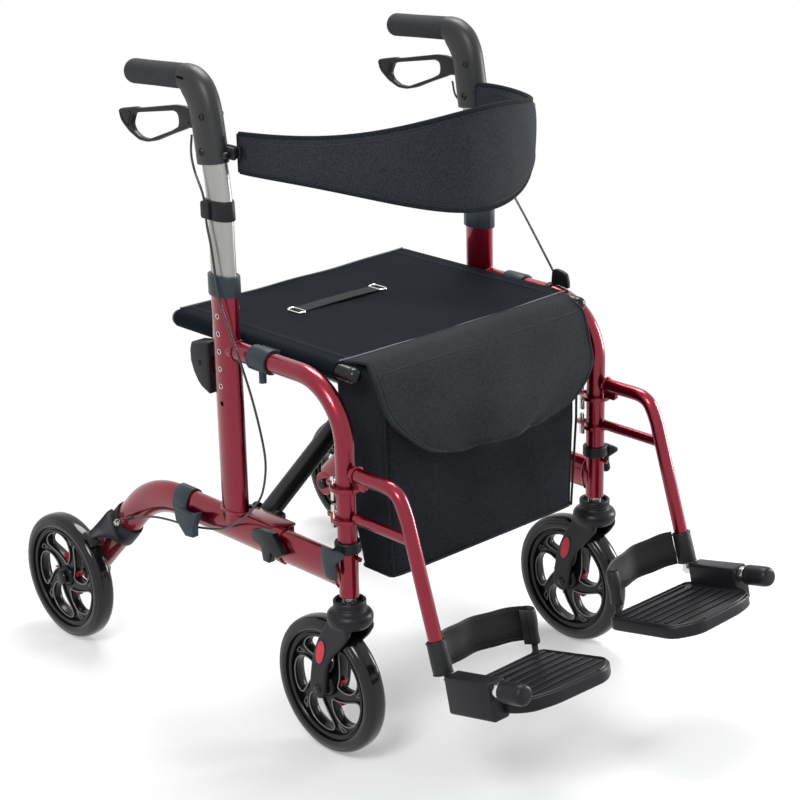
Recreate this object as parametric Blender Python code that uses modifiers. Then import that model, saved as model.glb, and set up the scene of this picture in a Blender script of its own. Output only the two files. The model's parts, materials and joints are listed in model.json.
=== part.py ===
# Folding rollator that doubles as a transport chair: two side frames joined by a cross brace, a sling
# seat with a bag, a padded backrest band, height-adjustable handles and swing-away footrests.
# Metres, +Z up, the front of the walker towards -Y, the floor at z = 0.
import math

import bmesh
import bpy
from mathutils import Matrix, Vector

# Overall layout. The right-hand pieces are modelled and the left-hand ones are their mirror images.
FRAME_X = 0.249           # distance of each side frame's plane from the centre plane
ORIGIN_SHIFT_Y = 0.1104   # moves the layout so that its box is centred on the origin
GAP = 0.0003              # clearance between pieces that touch
SIDE = -FRAME_X           # plane of the right side frame

# Side frame
LEG_Y = -0.300
LEG_RADIUS = 0.01375
TOP_TUBE_Z = 0.551
TOP_BEND_RADIUS = 0.085
POST_Y = -0.0583
POST_TOP_Z = 0.650
POST_SECTION = (0.050, 0.030)
POST_BORE = (0.0472, 0.0272)
RAIL_Z = 0.2835
RAIL_SECTION = (0.050, 0.030)
RAIL_BEND_Y = 0.0718
RAIL_BEND_RADIUS = 0.160
CLAMP_Y = (0.0370, 0.0690)
CLAMP_TAIL = ((-0.0120, 0.2970), (0.0120, 0.2870), (0.0440, 0.2900), (0.0400, 0.2720), (0.0190, 0.2530),
              (0.0010, 0.2550), (0.0000, 0.2720))
HOLE_PITCH = 0.0256
HOLE_TOP_Z = 0.5994
HOLE_COUNT = 6
LOCK_PIVOT = (-0.0075, 0.5195)

# Wheels
WHEEL_RADIUS = 0.1015
TYRE_WIDTH = 0.032
RIM_RADIUS = 0.0817
SPOKES = 5
WHEEL_STEPS = 30
REAR_WHEEL_X = -0.297
REAR_AXLE = (0.3125, 0.1015)
CASTER_TRAIL = 0.044
FRONT_AXLE = (LEG_Y + CASTER_TRAIL, 0.1015)

# Cross brace and seat
SEAT_RAIL_X = 0.2205
SEAT_RAIL_Z = 0.557
SEAT_RAIL_RADIUS = 0.011
BRACE_FOOT_Z = 0.3035
BRACE_FRONT_FOOT_Y = -0.0965
BRACE_SKEW = 0.1395       # how much a bar moves back for each metre across
BRACE_OFFSET_Y = 0.0395   # the rear bar lies this far behind the front one
BAR_DEPTH = 0.033
BAG_HALF = 0.192
BAG_TAPER = 0.052         # share of the width lost towards the bottom
BACKREST_HALF_WIDTH = 0.2268
BACKREST_HINGE = (-0.0790, 0.8270)
BACKREST_BULGE = 0.250
BAR_HEIGHT = 0.018

# Handles
HANDLE_SECTION = (0.0464, 0.0264)
HANDLE_TUBE_Z = (0.484, 0.846)
GRIP_RADIUS = 0.0175
GRIP_START = (0.0035, 0.9232)
GRIP_END = (0.132, 0.9157)
LEVER_PIVOT = (-0.016, 0.865)
LEVER_WIDTH = 0.0100
CABLE_RADIUS = 0.0017

# Brake
SHOE_PIVOT = (0.196, 0.190)
SHOE_CONTACT_ANGLE = 40.0

# Footrest
HANGER_RADIUS = 0.010
RING_Z = (0.4096, 0.3641)
HANGER_END = (-0.4780, 0.2110)
STEM_DIRECTION = Vector((0, 0.0595, 0.1860)).normalized()
STEM_LENGTH = 0.066       # length of the rod inside the hanger
FOOT_AXIS_POINT = Vector((-0.244, -0.5804, 0.2090))
FOOT_AXIS_TILT = math.radians(12.6)


PARTS = None
CUTTERS = None


def clear_scene():
    for obj in list(bpy.data.objects):
        bpy.data.objects.remove(obj)


def collections():
    global PARTS, CUTTERS
    PARTS = bpy.data.collections.new("rollator_transport_chair")
    CUTTERS = bpy.data.collections.new("cutters")
    bpy.context.scene.collection.children.link(PARTS)
    bpy.context.scene.collection.children.link(CUTTERS)


def material(name, colour, roughness, metallic=0.0):
    made = bpy.data.materials.new(name)
    made.use_nodes = True
    shader = made.node_tree.nodes["Principled BSDF"]
    shader.inputs["Base Color"].default_value = (*colour, 1.0)
    shader.inputs["Roughness"].default_value = roughness
    shader.inputs["Metallic"].default_value = metallic
    return made


# Small toolkit: every function returns one mesh object with closed faces that point outwards.
def finish(name, mesh, weld=1e-5):
    shape = bmesh.new()
    shape.from_mesh(mesh)
    bmesh.ops.remove_doubles(shape, verts=shape.verts, dist=weld)
    bmesh.ops.dissolve_degenerate(shape, edges=shape.edges, dist=1e-6)
    bmesh.ops.recalc_face_normals(shape, faces=shape.faces)
    shape.to_mesh(mesh)
    shape.free()
    mesh.name = name
    mesh.shade_smooth()
    mesh.set_sharp_from_angle(angle=math.radians(35))
    obj = bpy.data.objects.new(name, mesh)
    PARTS.objects.link(obj)
    return obj


def freeze(obj, name):
    """The object's evaluated shape as a plain mesh, in its place."""
    graph = bpy.context.evaluated_depsgraph_get()
    mesh = bpy.data.meshes.new_from_object(obj.evaluated_get(graph))
    mesh.transform(obj.matrix_world)
    bpy.data.objects.remove(obj)
    return finish(name, mesh)


def tube(name, points, radius, sides=12):
    """A round tube with capped ends along a line of points."""
    curve = bpy.data.curves.new(name, "CURVE")
    curve.dimensions = "3D"
    curve.bevel_depth = radius
    curve.bevel_resolution = (sides - 4) // 2
    curve.use_fill_caps = True
    spline = curve.splines.new("POLY")
    spline.points.add(len(points) - 1)
    for point, place in zip(spline.points, points):
        point.co = (*place, 1.0)
    obj = bpy.data.objects.new(name, curve)
    PARTS.objects.link(obj)
    return freeze(obj, name)


def oval_tube(name, points, section, sides=14):
    """An oval tube whose long side lies in the plane of its path, a plane of constant x."""
    obj = tube(name, points, section[0] / 2, sides)
    plane = points[0][0]
    for vertex in obj.data.vertices:
        vertex.co.x = plane + (vertex.co.x - plane) * section[1] / section[0]
    return obj


def side_line(x, points):
    return [Vector((x, y, z)) for y, z in points]


def arc(centre, radius, start, end, steps):
    """Points (y, z) on an arc, with angles in degrees from +y towards +z."""
    angles = [math.radians(start + (end - start) * i / steps) for i in range(steps + 1)]
    return [(centre[0] + radius * math.cos(a), centre[1] + radius * math.sin(a)) for a in angles]


AXES = {
    "X": Matrix(((0, 0, 1, 0), (0, 1, 0, 0), (-1, 0, 0, 0), (0, 0, 0, 1))),
    "Y": Matrix(((1, 0, 0, 0), (0, 0, 1, 0), (0, -1, 0, 0), (0, 0, 0, 1))),
    "Z": Matrix.Identity(4),
}


def cylinder(name, radius, length, centre, axis="Z", sides=16, turn=None):
    """A cylinder centred on a point, along an axis or turned by a given matrix."""
    shape = bmesh.new()
    bmesh.ops.create_cone(shape, cap_ends=True, segments=sides, radius1=radius, radius2=radius, depth=length)
    mesh = bpy.data.meshes.new(name)
    shape.to_mesh(mesh)
    shape.free()
    mesh.transform(Matrix.Translation(centre) @ (turn or AXES[axis]))
    return finish(name, mesh)


def box(name, low, high, bevel=0.0, segments=1):
    """A box between two corners, with its edges bevelled if asked."""
    low, high = Vector(low), Vector(high)
    shape = bmesh.new()
    bmesh.ops.create_cube(shape, size=1.0)
    mesh = bpy.data.meshes.new(name)
    shape.to_mesh(mesh)
    shape.free()
    size = high - low
    mesh.transform(Matrix.Translation((low + high) / 2) @ Matrix.Diagonal((*size, 1.0)))
    obj = finish(name, mesh)
    return soften(obj, bevel, segments) if bevel else obj


def soften(obj, width, segments=1, angle=30):
    """Bevels the edges that are sharper than the angle."""
    bevel = obj.modifiers.new("bevel", "BEVEL")
    bevel.width = width
    bevel.segments = segments
    bevel.limit_method = "ANGLE"
    bevel.angle_limit = math.radians(angle)
    return freeze(obj, obj.name)


def turned(name, profile, centre, axis="Z", steps=24, closed=False, turn=None):
    """A turned solid. The profile is (radius, height) from top to bottom on its outer side."""
    mesh = bpy.data.meshes.new(name)
    last = len(profile) if closed else len(profile) - 1
    edges = [(i, (i + 1) % len(profile)) for i in range(last)]
    mesh.from_pydata([(r, 0.0, h) for r, h in profile], edges, [])
    obj = bpy.data.objects.new(name, mesh)
    PARTS.objects.link(obj)
    screw = obj.modifiers.new("turn", "SCREW")
    screw.axis = "Z"
    screw.steps = steps
    screw.render_steps = steps
    screw.use_merge_vertices = True
    screw.merge_threshold = 0.00001
    obj.matrix_world = Matrix.Translation(centre) @ (turn or AXES[axis])
    bpy.context.view_layer.update()
    return freeze(obj, name)


def outline(name, loops, thickness, x=0.0, bevel=0.0):
    """A flat plate of given thickness from outlines of (y, z) points, later ones being holes."""
    curve = bpy.data.curves.new(name, "CURVE")
    curve.dimensions = "2D"
    curve.fill_mode = "BOTH"
    curve.extrude = thickness / 2
    for loop in loops:
        spline = curve.splines.new("POLY")
        spline.points.add(len(loop) - 1)
        spline.use_cyclic_u = True
        for point, (u, v) in zip(spline.points, loop):
            point.co = (u, v, 0.0, 1.0)
    obj = bpy.data.objects.new(name, curve)
    PARTS.objects.link(obj)
    obj.matrix_world = Matrix(((0, 0, 1, x), (1, 0, 0, 0), (0, 1, 0, 0), (0, 0, 0, 1)))
    bpy.context.view_layer.update()
    made = freeze(obj, name)
    return soften(made, bevel) if bevel else made


def loft(name, rings):
    """A solid through a row of rings, each with the same number of points."""
    shape = bmesh.new()
    rows = [[shape.verts.new(point) for point in ring] for ring in rings]
    count = len(rows[0])
    for first, second in zip(rows, rows[1:]):
        for i in range(count):
            shape.faces.new((first[i], first[(i + 1) % count], second[(i + 1) % count], second[i]))
    shape.faces.new(rows[0])
    shape.faces.new(rows[-1])
    mesh = bpy.data.meshes.new(name)
    shape.to_mesh(mesh)
    shape.free()
    return finish(name, mesh)


def oval_ring(centre, across, along, half_across, half_along, count=14, power=2.0):
    """Points on an oval; a power above 2 squares its corners."""
    ring = []
    for i in range(count):
        angle = 2 * math.pi * i / count
        c, s = math.cos(angle), math.sin(angle)
        reach = (abs(c) ** power + abs(s) ** power) ** (-1 / power)
        ring.append(centre + across * (half_across * c * reach) + along * (half_along * s * reach))
    return ring


def combine(base, others, operation="UNION"):
    """Joins the others to the base, or cuts them from it, and removes them."""
    for other in others:
        PARTS.objects.unlink(other)
        CUTTERS.objects.link(other)
        other.display_type = "WIRE"
        other.hide_render = True
        step = base.modifiers.new(operation.lower(), "BOOLEAN")
        step.operation = operation
        step.object = other
        step.solver = "EXACT"
    bpy.context.view_layer.update()
    made = freeze(base, base.name)
    for other in others:
        bpy.data.objects.remove(other)
    return made


def join(base, *others):
    return combine(base, others, "UNION")


def cut(base, *others):
    return combine(base, others, "DIFFERENCE")


def mirrored(obj, name):
    mesh = obj.data.copy()
    mesh.transform(Matrix.Scale(-1, 4, (1, 0, 0)))
    mesh.flip_normals()
    mesh.name = name
    twin = bpy.data.objects.new(name, mesh)
    PARTS.objects.link(twin)
    return twin


# Side frame: one bent tube for the leg and top tube, an oval post and an oval lower rail, welded together.
def rail_path():
    ends = arc((RAIL_BEND_Y, RAIL_Z - RAIL_BEND_RADIUS), RAIL_BEND_RADIUS, 90, 45, 6)
    return [(LEG_Y + 0.002, RAIL_Z)] + ends + [(REAR_AXLE[0], REAR_AXLE[1] + 0.0075)]


def side_frame():
    bend = arc((LEG_Y + TOP_BEND_RADIUS, TOP_TUBE_Z - TOP_BEND_RADIUS), TOP_BEND_RADIUS, 180, 90, 6)
    leg_line = side_line(SIDE, [(LEG_Y, 0.2505)] + bend + [(POST_Y, TOP_TUBE_Z)])
    leg = tube("right_frame", leg_line, LEG_RADIUS, 12)
    post = oval_tube("post", side_line(SIDE, [(POST_Y, 0.280), (POST_Y, POST_TOP_Z)]), POST_SECTION)
    rail = oval_tube("rail", side_line(SIDE, rail_path()), RAIL_SECTION, 14)
    boss = cylinder("boss", 0.0205, 0.0330, (SIDE, *REAR_AXLE), "X", 16)
    lock_lug = box("lock_lug", (SIDE - 0.004, POST_Y + 0.020, 0.5125), (SIDE + 0.004, -0.0010, 0.5265))
    frame = join(leg, post, rail, boss, lock_lug)
    bore = oval_tube("bore", side_line(SIDE, [(POST_Y, 0.420), (POST_Y, 0.660)]), POST_BORE)
    axle_hole = cylinder("axle_hole", 0.0054, 0.060, (SIDE, *REAR_AXLE), "X", 12)
    stem_hole = cylinder("stem_hole", 0.0066, 0.080, (SIDE, LEG_Y, 0.246), "Z", 12)
    lug_hole = cylinder("lug_hole", 0.0029, 0.020, (SIDE, *LOCK_PIVOT), "X", 10)
    holes = []
    for i in range(HOLE_COUNT):
        place = (SIDE - 0.014, POST_Y, HOLE_TOP_Z - HOLE_PITCH * i)
        holes.append(cylinder("hole", 0.0036, 0.012, place, "X", 8))
    return cut(frame, bore, axle_hole, stem_hole, lug_hole, *holes)


def post_collar():
    """Collar on the post's top, flat on its inner side where the seat rail passes as the frame folds."""
    whole = side_line(SIDE, [(POST_Y, 0.628), (POST_Y, 0.657)])
    outer = oval_tube("right_post_collar", whole, (0.0565, 0.0365))
    over_post = (POST_SECTION[0] + 2 * GAP + 0.0003, POST_SECTION[1] + 2 * GAP + 0.0003)
    low = oval_tube("low", side_line(SIDE, [(POST_Y, 0.620), (POST_Y, POST_TOP_Z + GAP)]), over_post)
    bore = oval_tube("bore", side_line(SIDE, [(POST_Y, 0.640), (POST_Y, 0.680)]), POST_BORE)
    flat_side = box("flat_side", (SIDE + 0.0168, POST_Y - 0.040, 0.620),
                    (SIDE + 0.0300, POST_Y + 0.040, 0.670))
    return cut(outer, low, bore, flat_side)


def height_lock():
    """Rocker behind the post: a D-shaped cheek on a cross pin."""
    shape = [(-0.0285, 0.4765), (-0.0140, 0.4825), (-0.0020, 0.4930), (0.0070, 0.5060), (0.0125, 0.5210),
             (0.0130, 0.5370), (0.0095, 0.5475), (-0.0285, 0.5545)]
    rocker = outline("right_height_lock", [shape], 0.026, SIDE, 0.002)
    slot = box("slot", (SIDE - 0.0045, -0.0400, 0.5070), (SIDE + 0.0045, 0.0030, 0.5320))
    rocker = cut(rocker, slot)
    return join(rocker, cylinder("pin", 0.0025, 0.020, (SIDE, *LOCK_PIVOT), "X", 10))


def saddle_clip():
    """Clip on the top tube with an open cradle for the seat rail."""
    length, middle = 0.038, -0.1375
    ring = cylinder("right_saddle_clip", 0.0178, length, (SIDE, middle, TOP_TUBE_Z), "Y", 16)
    cradle = cylinder("cradle", 0.0168, length, (-SEAT_RAIL_X, middle, SEAT_RAIL_Z), "Y", 16)
    stub = cylinder("stub", 0.0055, 0.020, (SIDE, middle + 0.004, TOP_TUBE_Z - 0.024), "Z", 10)
    clip = join(ring, cradle, stub)
    tube_hole = cylinder("tube_hole", LEG_RADIUS + 2 * GAP, 0.060, (SIDE, middle, TOP_TUBE_Z), "Y", 16)
    rail_hole = cylinder("rail_hole", 0.0141, 0.060, (-SEAT_RAIL_X, middle, SEAT_RAIL_Z), "Y", 16)
    mouth = box("mouth", (-SEAT_RAIL_X - 0.0141, middle - 0.030, SEAT_RAIL_Z),
                (-0.190, middle + 0.030, 0.590))
    return cut(clip, tube_hole, rail_hole, mouth)


def rail_sleeve(name, start, end, outer, sides=16):
    """A sleeve round the straight part of the lower rail."""
    body = oval_tube(name, side_line(SIDE, [(start, RAIL_Z), (end, RAIL_Z)]), outer, sides)
    hole = (RAIL_SECTION[0] + 4 * GAP, RAIL_SECTION[1] + 4 * GAP)
    inner = oval_tube("inner", side_line(SIDE, [(start - 0.01, RAIL_Z), (end + 0.01, RAIL_Z)]), hole, sides)
    return body, inner


def rail_clamp():
    """Clamp round the rail behind the post, with a hook tail below."""
    body, inner = rail_sleeve("right_rail_clamp", CLAMP_Y[0], CLAMP_Y[1], (0.0570, 0.0370), 14)
    tail = outline("tail", [CLAMP_TAIL], 0.0105, SIDE - 0.0300)
    neck = box("neck", (SIDE - 0.0270, CLAMP_Y[0] + 0.0002, 0.2740), (SIDE - 0.0165, 0.0430, 0.2870))
    return join(cut(body, inner), tail, neck)


def brace_bracket(name="right_brace_bracket", foot_y=BRACE_FRONT_FOOT_Y):
    """Bracket of the cross brace: a sleeve, a saddle plate, an inner strip with two ears, and a hook."""
    body, inner = rail_sleeve(name, -0.170, -0.146, (0.0560, 0.0365), 14)
    front_y, rear_y = foot_y - 0.0235, foot_y + 0.0250
    plate = box("plate", (SIDE - 0.0060, -0.1680, 0.3089), (-0.2300, -0.0870, 0.3125))
    strip = box("strip", (-0.2333, -0.1650, 0.2960), (-0.2300, rear_y + 0.00375, 0.3122))
    parts = [plate, strip]
    for y in (front_y, rear_y):
        parts.append(cylinder("ear", 0.0100, 0.0075, (-SEAT_RAIL_X, y, BRACE_FOOT_Z), "Y", 12))
        parts.append(box("web", (-0.2320, y - 0.00375, 0.2965), (-SEAT_RAIL_X, y + 0.00375, 0.3110)))
    pin_y, pin_length = (front_y + rear_y) / 2, rear_y - front_y
    parts.append(cylinder("pin", 0.0040, pin_length, (-SEAT_RAIL_X, pin_y, BRACE_FOOT_Z), "Y", 12))
    hook_shape = [(-0.146, 0.3100), (-0.127, 0.3040), (-0.128, 0.2900), (-0.146, 0.2840), (-0.150, 0.2640),
                  (-0.163, 0.2640), (-0.166, 0.2820), (-0.182, 0.2760), (-0.193, 0.2850), (-0.172, 0.3100)]
    parts.append(outline("hook", [hook_shape], 0.0105, SIDE - 0.0222))
    return join(cut(body, inner), *parts)


def leg_collar():
    """Clamping collar on the leg, with its wing lever and bolt on the outer side."""
    ring = cylinder("right_leg_collar", 0.0185, 0.016, (SIDE, LEG_Y, 0.3210), "Z", 16)
    bolt = cylinder("bolt", 0.0055, 0.020, (SIDE - 0.0235, LEG_Y - 0.003, 0.3210), "X", 12)
    across, along = Vector((0, 1, 0)), Vector((1, 0, 0))
    rings = []
    for z, half, thick, back in ((0.3370, 0.0150, 0.0050, 0.0), (0.3180, 0.0135, 0.0065, 0.001),
                                 (0.2950, 0.0100, 0.0060, 0.003), (0.2700, 0.0060, 0.0042, 0.005)):
        centre = Vector((SIDE - 0.0335, LEG_Y - 0.005 + back, z))
        rings.append(oval_ring(centre, across, along, half, thick, 10, 2.6))
    collar = join(ring, bolt, loft("wing", rings))
    hole = cylinder("hole", LEG_RADIUS + 2 * GAP, 0.040, (SIDE, LEG_Y, 0.3210), "Z", 16)
    return cut(collar, hole)


# Wheels: a spoked rim with five curved spokes that fork before they reach the ring, and a solid tyre.
def polar(radius, angle):
    return (radius * math.cos(angle), radius * math.sin(angle))


def spoke_angle(index, radius):
    """The middle line of a curved spoke."""
    share = (radius - 0.014) / (0.0735 - 0.014)
    return 2 * math.pi * index / SPOKES - math.radians(46) * share ** 0.8


def spoke_star():
    """One outline round all the spokes: each widens, forks and runs into the ring."""
    edge = ((0.0150, 0.0046), (0.0300, 0.0037), (0.0500, 0.0052), (0.0745, 0.0138))
    fork = ((0.0745, 0.0088), (0.0590, 0.0), (0.0745, -0.0088))
    loop = []
    for k in range(SPOKES):
        loop += [polar(r, spoke_angle(k, r) - w / r) for r, w in edge]
        loop += [polar(r, spoke_angle(k, r) - w / r) for r, w in fork]
        loop += [polar(r, spoke_angle(k, r) + w / r) for r, w in reversed(edge)]
    return loop


def rim(name, x, axle, hub_half, bore):
    disc = outline(name, [spoke_star()], 0.0150)
    ring = turned("ring", [(RIM_RADIUS, 0.0125), (RIM_RADIUS, -0.0125), (0.0725, -0.0125), (0.0725, 0.0125)],
                  (0, 0, 0), "X", WHEEL_STEPS, True)
    hub = cylinder("hub", 0.0165, 2 * hub_half, (0, 0, 0), "X", 14)
    wheel = join(disc, ring, hub)
    wheel = cut(wheel, cylinder("bore", bore, 0.100, (0, 0, 0), "X", 10))
    wheel.data.transform(Matrix.Translation((x, *axle)))
    return wheel


def tyre(name, x, axle):
    """Solid tyre with a rounded tread; its section is symmetric about the wheel's plane."""
    half = TYRE_WIDTH / 2
    inner = RIM_RADIUS + GAP
    profile = [(0.0950, half), (WHEEL_RADIUS, half - 0.0085), (WHEEL_RADIUS, 0.0085 - half), (0.0950, -half),
               (inner, -half), (inner, half)]
    return turned(name, profile, (x, *axle), "X", WHEEL_STEPS, True)


def rear_axle():
    """Axle bolt with its outer cap, a spacer between wheel and frame, and its inner nut."""
    y, z = REAR_AXLE
    profile = [(0.0, 0.0850), (0.0085, 0.0845), (0.0110, 0.0815), (0.0110, 0.0788), (0.0050, 0.0788),
               (0.0050, 0.0512), (0.0082, 0.0512), (0.0082, 0.0338), (0.0050, 0.0338),
               (0.0050, -0.0002), (0.0085, -0.0002), (0.0085, -0.0070), (0.0, -0.0070)]
    outward = Matrix(((0, 0, -1, 0), (0, 1, 0, 0), (1, 0, 0, 0), (0, 0, 0, 1)))
    return turned("right_rear_axle", profile, (SIDE + 0.0170, y, z), turn=outward, steps=12)


def front_axle():
    profile = [(0.0, 0.0290), (0.0060, 0.0285), (0.0070, 0.0262), (0.0040, 0.0259), (0.0040, -0.0259),
               (0.0070, -0.0262), (0.0060, -0.0285), (0.0, -0.0290)]
    return turned("right_front_axle", profile, (SIDE, *FRONT_AXLE), "X", 12)


def caster_fork():
    """Swivel fork: a cupped crown under the leg and two arms that sweep back to the axle."""
    profile = [(0.0, 0.2800), (0.0061, 0.2800), (0.0061, 0.2490), (0.0090, 0.2490), (0.0090, 0.2400),
               (0.0187, 0.2400), (0.0187, 0.2450), (0.0230, 0.2450), (0.0230, 0.2325), (0.0295, 0.2285),
               (0.0325, 0.2215), (0.0312, 0.2130), (0.0240, 0.2062), (0.0, 0.2062)]
    crown = turned("right_caster_fork", profile, (SIDE, LEG_Y, 0.0), "Z", 14)
    shape = [(-0.3160, 0.2270), (-0.2890, 0.2270), (-0.2641, 0.1905), (-0.2485, 0.1563), (-0.2409, 0.1246),
             (-0.2376, 0.1000), (-0.2440, 0.0880), (-0.2548, 0.0850), (-0.2655, 0.0900), (-0.2696, 0.1030),
             (-0.2744, 0.1367), (-0.2860, 0.1610), (-0.3125, 0.1874), (-0.3240, 0.2060)]
    arms = [outline("arm", [shape], 0.0072, SIDE + side * 0.0216) for side in (-1, 1)]
    fork = join(crown, *arms)
    return cut(fork, cylinder("axle_hole", 0.0043, 0.080, (SIDE, *FRONT_AXLE), "X", 12))


# Handle: an oval telescoping tube, a moulded elbow, a grip and the brake lever.
def handle_tube():
    low, high = HANDLE_TUBE_Z
    points = [(POST_Y, low), (POST_Y, 0.740), (POST_Y + 0.0012, 0.765), (POST_Y + 0.0042, 0.790),
              (POST_Y + 0.0082, 0.815), (POST_Y + 0.0122, high)]
    return oval_tube("right_handle_tube", side_line(SIDE, points), HANDLE_SECTION)


def handle_body():
    across = Vector((1, 0, 0))
    stations = (
        (-0.0478, 0.8120, 8, 0.0262, 0.0172), (-0.0442, 0.8390, 8, 0.0265, 0.0175),
        (-0.0390, 0.8730, 10, 0.0262, 0.0176),
        (-0.0335, 0.8930, 18, 0.0264, 0.0177), (-0.0245, 0.9080, 34, 0.0262, 0.0177),
        (-0.0135, 0.9168, 55, 0.0235, 0.0177), (-0.0050, 0.9210, 75, 0.0203, 0.0177),
        (0.0030, 0.9230, 93, 0.0182, 0.0177),
    )
    rings = []
    for y, z, lean, half, lateral in stations:
        angle = math.radians(lean)
        along = Vector((0, math.cos(angle), -math.sin(angle)))
        rings.append(oval_ring(Vector((SIDE, y, z)), across, along, lateral, half, 12, 2.2))
    body = loft("right_handle_body", rings)
    lug = box("lug", (SIDE - 0.0080, -0.0900, 0.8205), (SIDE + 0.0174, -0.0600, 0.8370), 0.0020)
    body = join(body, lug)
    points = [(POST_Y + 0.0052, 0.796), (POST_Y + 0.0082, 0.815), (POST_Y + 0.0122, HANDLE_TUBE_Z[1] + GAP)]
    clear = (HANDLE_SECTION[0] + 4 * GAP, HANDLE_SECTION[1] + 4 * GAP)
    socket = oval_tube("socket", side_line(SIDE, points), clear)
    slot = box("slot", (SIDE - 0.0058, -0.0320, 0.8476), (SIDE + 0.0058, 0.0300, 0.8850))
    body = cut(body, socket, slot)
    return join(body, cylinder("pin", 0.0025, 0.0240, (SIDE, *LEVER_PIVOT), "X", 10))


def grip():
    """Foam grip with a rounded end and a shallow waist."""
    start, end = Vector((SIDE, *GRIP_START)), Vector((SIDE, *GRIP_END))
    direction = (end - start).normalized()
    length = (end - start).length
    r = GRIP_RADIUS
    profile = [(0.0, length), (r * 0.60, length - 0.0025), (r * 0.92, length - 0.0090), (r, length - 0.020),
               (r, 0.0), (0.0, 0.0)]
    turn = direction.to_track_quat("Z", "Y").to_matrix().to_4x4()
    return turned("right_grip", profile, start, turn=turn, steps=14)


def brake_lever():
    """Loop lever: a hub in the handle's slot, a straight top bar, a drooping nose and a finger opening."""
    outer = [(0.1601, 0.8556), (0.1560, 0.8592), (0.1212, 0.8659), (0.1124, 0.8653), (0.0699, 0.8733),
             (0.0295, 0.8808), (0.0102, 0.8815), (-0.0060, 0.8795), (-0.0250, 0.8720), (-0.0262, 0.8600),
             (-0.0160, 0.8545), (-0.0010, 0.8535), (0.0100, 0.8490), (0.0381, 0.8388), (0.0746, 0.8243),
             (0.0954, 0.8194), (0.1146, 0.8195), (0.1358, 0.8277), (0.1504, 0.8378), (0.1562, 0.8436)]
    opening = [(0.1118, 0.8592), (0.0302, 0.8728), (0.0206, 0.8700), (0.0191, 0.8600), (0.0215, 0.8520),
               (0.0382, 0.8440), (0.0938, 0.8235), (0.1275, 0.8308), (0.1325, 0.8400), (0.1247, 0.8560)]
    lever = outline("right_brake_lever", [outer, opening], LEVER_WIDTH, SIDE)
    hole = cylinder("hole", 0.0030, 0.030, (SIDE, *LEVER_PIVOT), "X", 10)
    return cut(lever, hole)


def smooth_route(points, count):
    """Evenly numbered points on a smooth curve through the given ones."""
    ends = [points[0] * 2 - points[1], *points, points[-1] * 2 - points[-2]]
    route = []
    spans = len(points) - 1
    for i in range(count + 1):
        place = spans * i / count
        k = min(int(place), spans - 1)
        t = place - k
        a, b, c, d = ends[k:k + 4]
        route.append(0.5 * (2 * b + (c - a) * t + (2 * a - 5 * b + 4 * c - d) * t * t
                            + (3 * b - a - 3 * c + d) * t ** 3))
    return route


CABLE_TOP = ((0.0, -0.0030, 0.8440), (0.0050, -0.0060, 0.8200), (0.0150, -0.0250, 0.7990))
CABLE_LOW = ((0.0205, -0.1448, 0.3595), (0.0205, -0.1209, 0.3299), (0.0205, -0.0923, 0.3047),
             (0.0205, -0.0497, 0.2800), (0.0207, 0.0000, 0.2670), (0.0207, 0.0400, 0.2605),
             (0.0205, 0.0800, 0.2560), (0.0205, 0.1150, 0.2500), (0.0205, 0.1500, 0.2390),
             (0.0205, 0.1800, 0.2290))


def cable_along(name, side, middle, count):
    """A sheathed cable from the lever past its own middle points and back along the rail to the brake."""
    points = [Vector((side * (FRAME_X + x), y, z)) for x, y, z in (*CABLE_TOP, *middle, *CABLE_LOW)]
    return tube(name, smooth_route(points, count), CABLE_RADIUS, 6)


def brake_cable():
    """The right cable lies against the handle tube and the post."""
    middle = ((0.0160, -0.0425, 0.7670), (0.0170, -0.0481, 0.7288), (0.0190, -0.0585, 0.6955),
              (0.0210, -0.0727, 0.6273), (0.0200, -0.0951, 0.5776), (0.0200, -0.1159, 0.5362),
              (0.0205, -0.1365, 0.4903), (0.0205, -0.1530, 0.4364), (0.0205, -0.1560, 0.4000))
    return cable_along("right_brake_cable", -1, middle, 26)


def left_cable():
    """The left cable bows forward past the guide on the top tube."""
    middle = ((0.0178, -0.0550, 0.7520), (0.0178, -0.1000, 0.6985), (0.0170, -0.1430, 0.6480),
              (0.0145, -0.1800, 0.6050), (0.0120, -0.2040, 0.5780), (0.0195, -0.2150, 0.5510),
              (0.0205, -0.2080, 0.5100), (0.0205, -0.1900, 0.4500), (0.0205, -0.1700, 0.3950))
    return cable_along("left_brake_cable", 1, middle, 26)


def brake_housing():
    """Clamp round the sloping end of the rail, cut square to it, with a pivot boss for the shoe arm."""
    slope = math.sqrt(0.5)
    middle = Vector((SIDE, 0.2130, 0.2086))
    along = Vector((0, slope, -slope))
    path = [middle - along * 0.0230, middle + along * 0.0230]
    body = oval_tube("right_brake_housing", path, (0.0620, 0.0390), 14)
    boss = cylinder("boss", 0.0090, 0.0170, (SIDE - 0.0173, *SHOE_PIVOT), "X", 12)
    bolt = cylinder("bolt", 0.0060, 0.0100, (SIDE - 0.0200, 0.2200, 0.2120), "X", 10)
    body = join(body, boss, bolt)
    hole = oval_tube("hole", [middle - along * 0.05, middle + along * 0.05],
                     (RAIL_SECTION[0] + 4 * GAP, RAIL_SECTION[1] + 4 * GAP), 14)
    body = cut(body, hole)
    return join(body, cylinder("pin", 0.0030, 0.0105, (SIDE - 0.0295, *SHOE_PIVOT), "X", 10))


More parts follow.
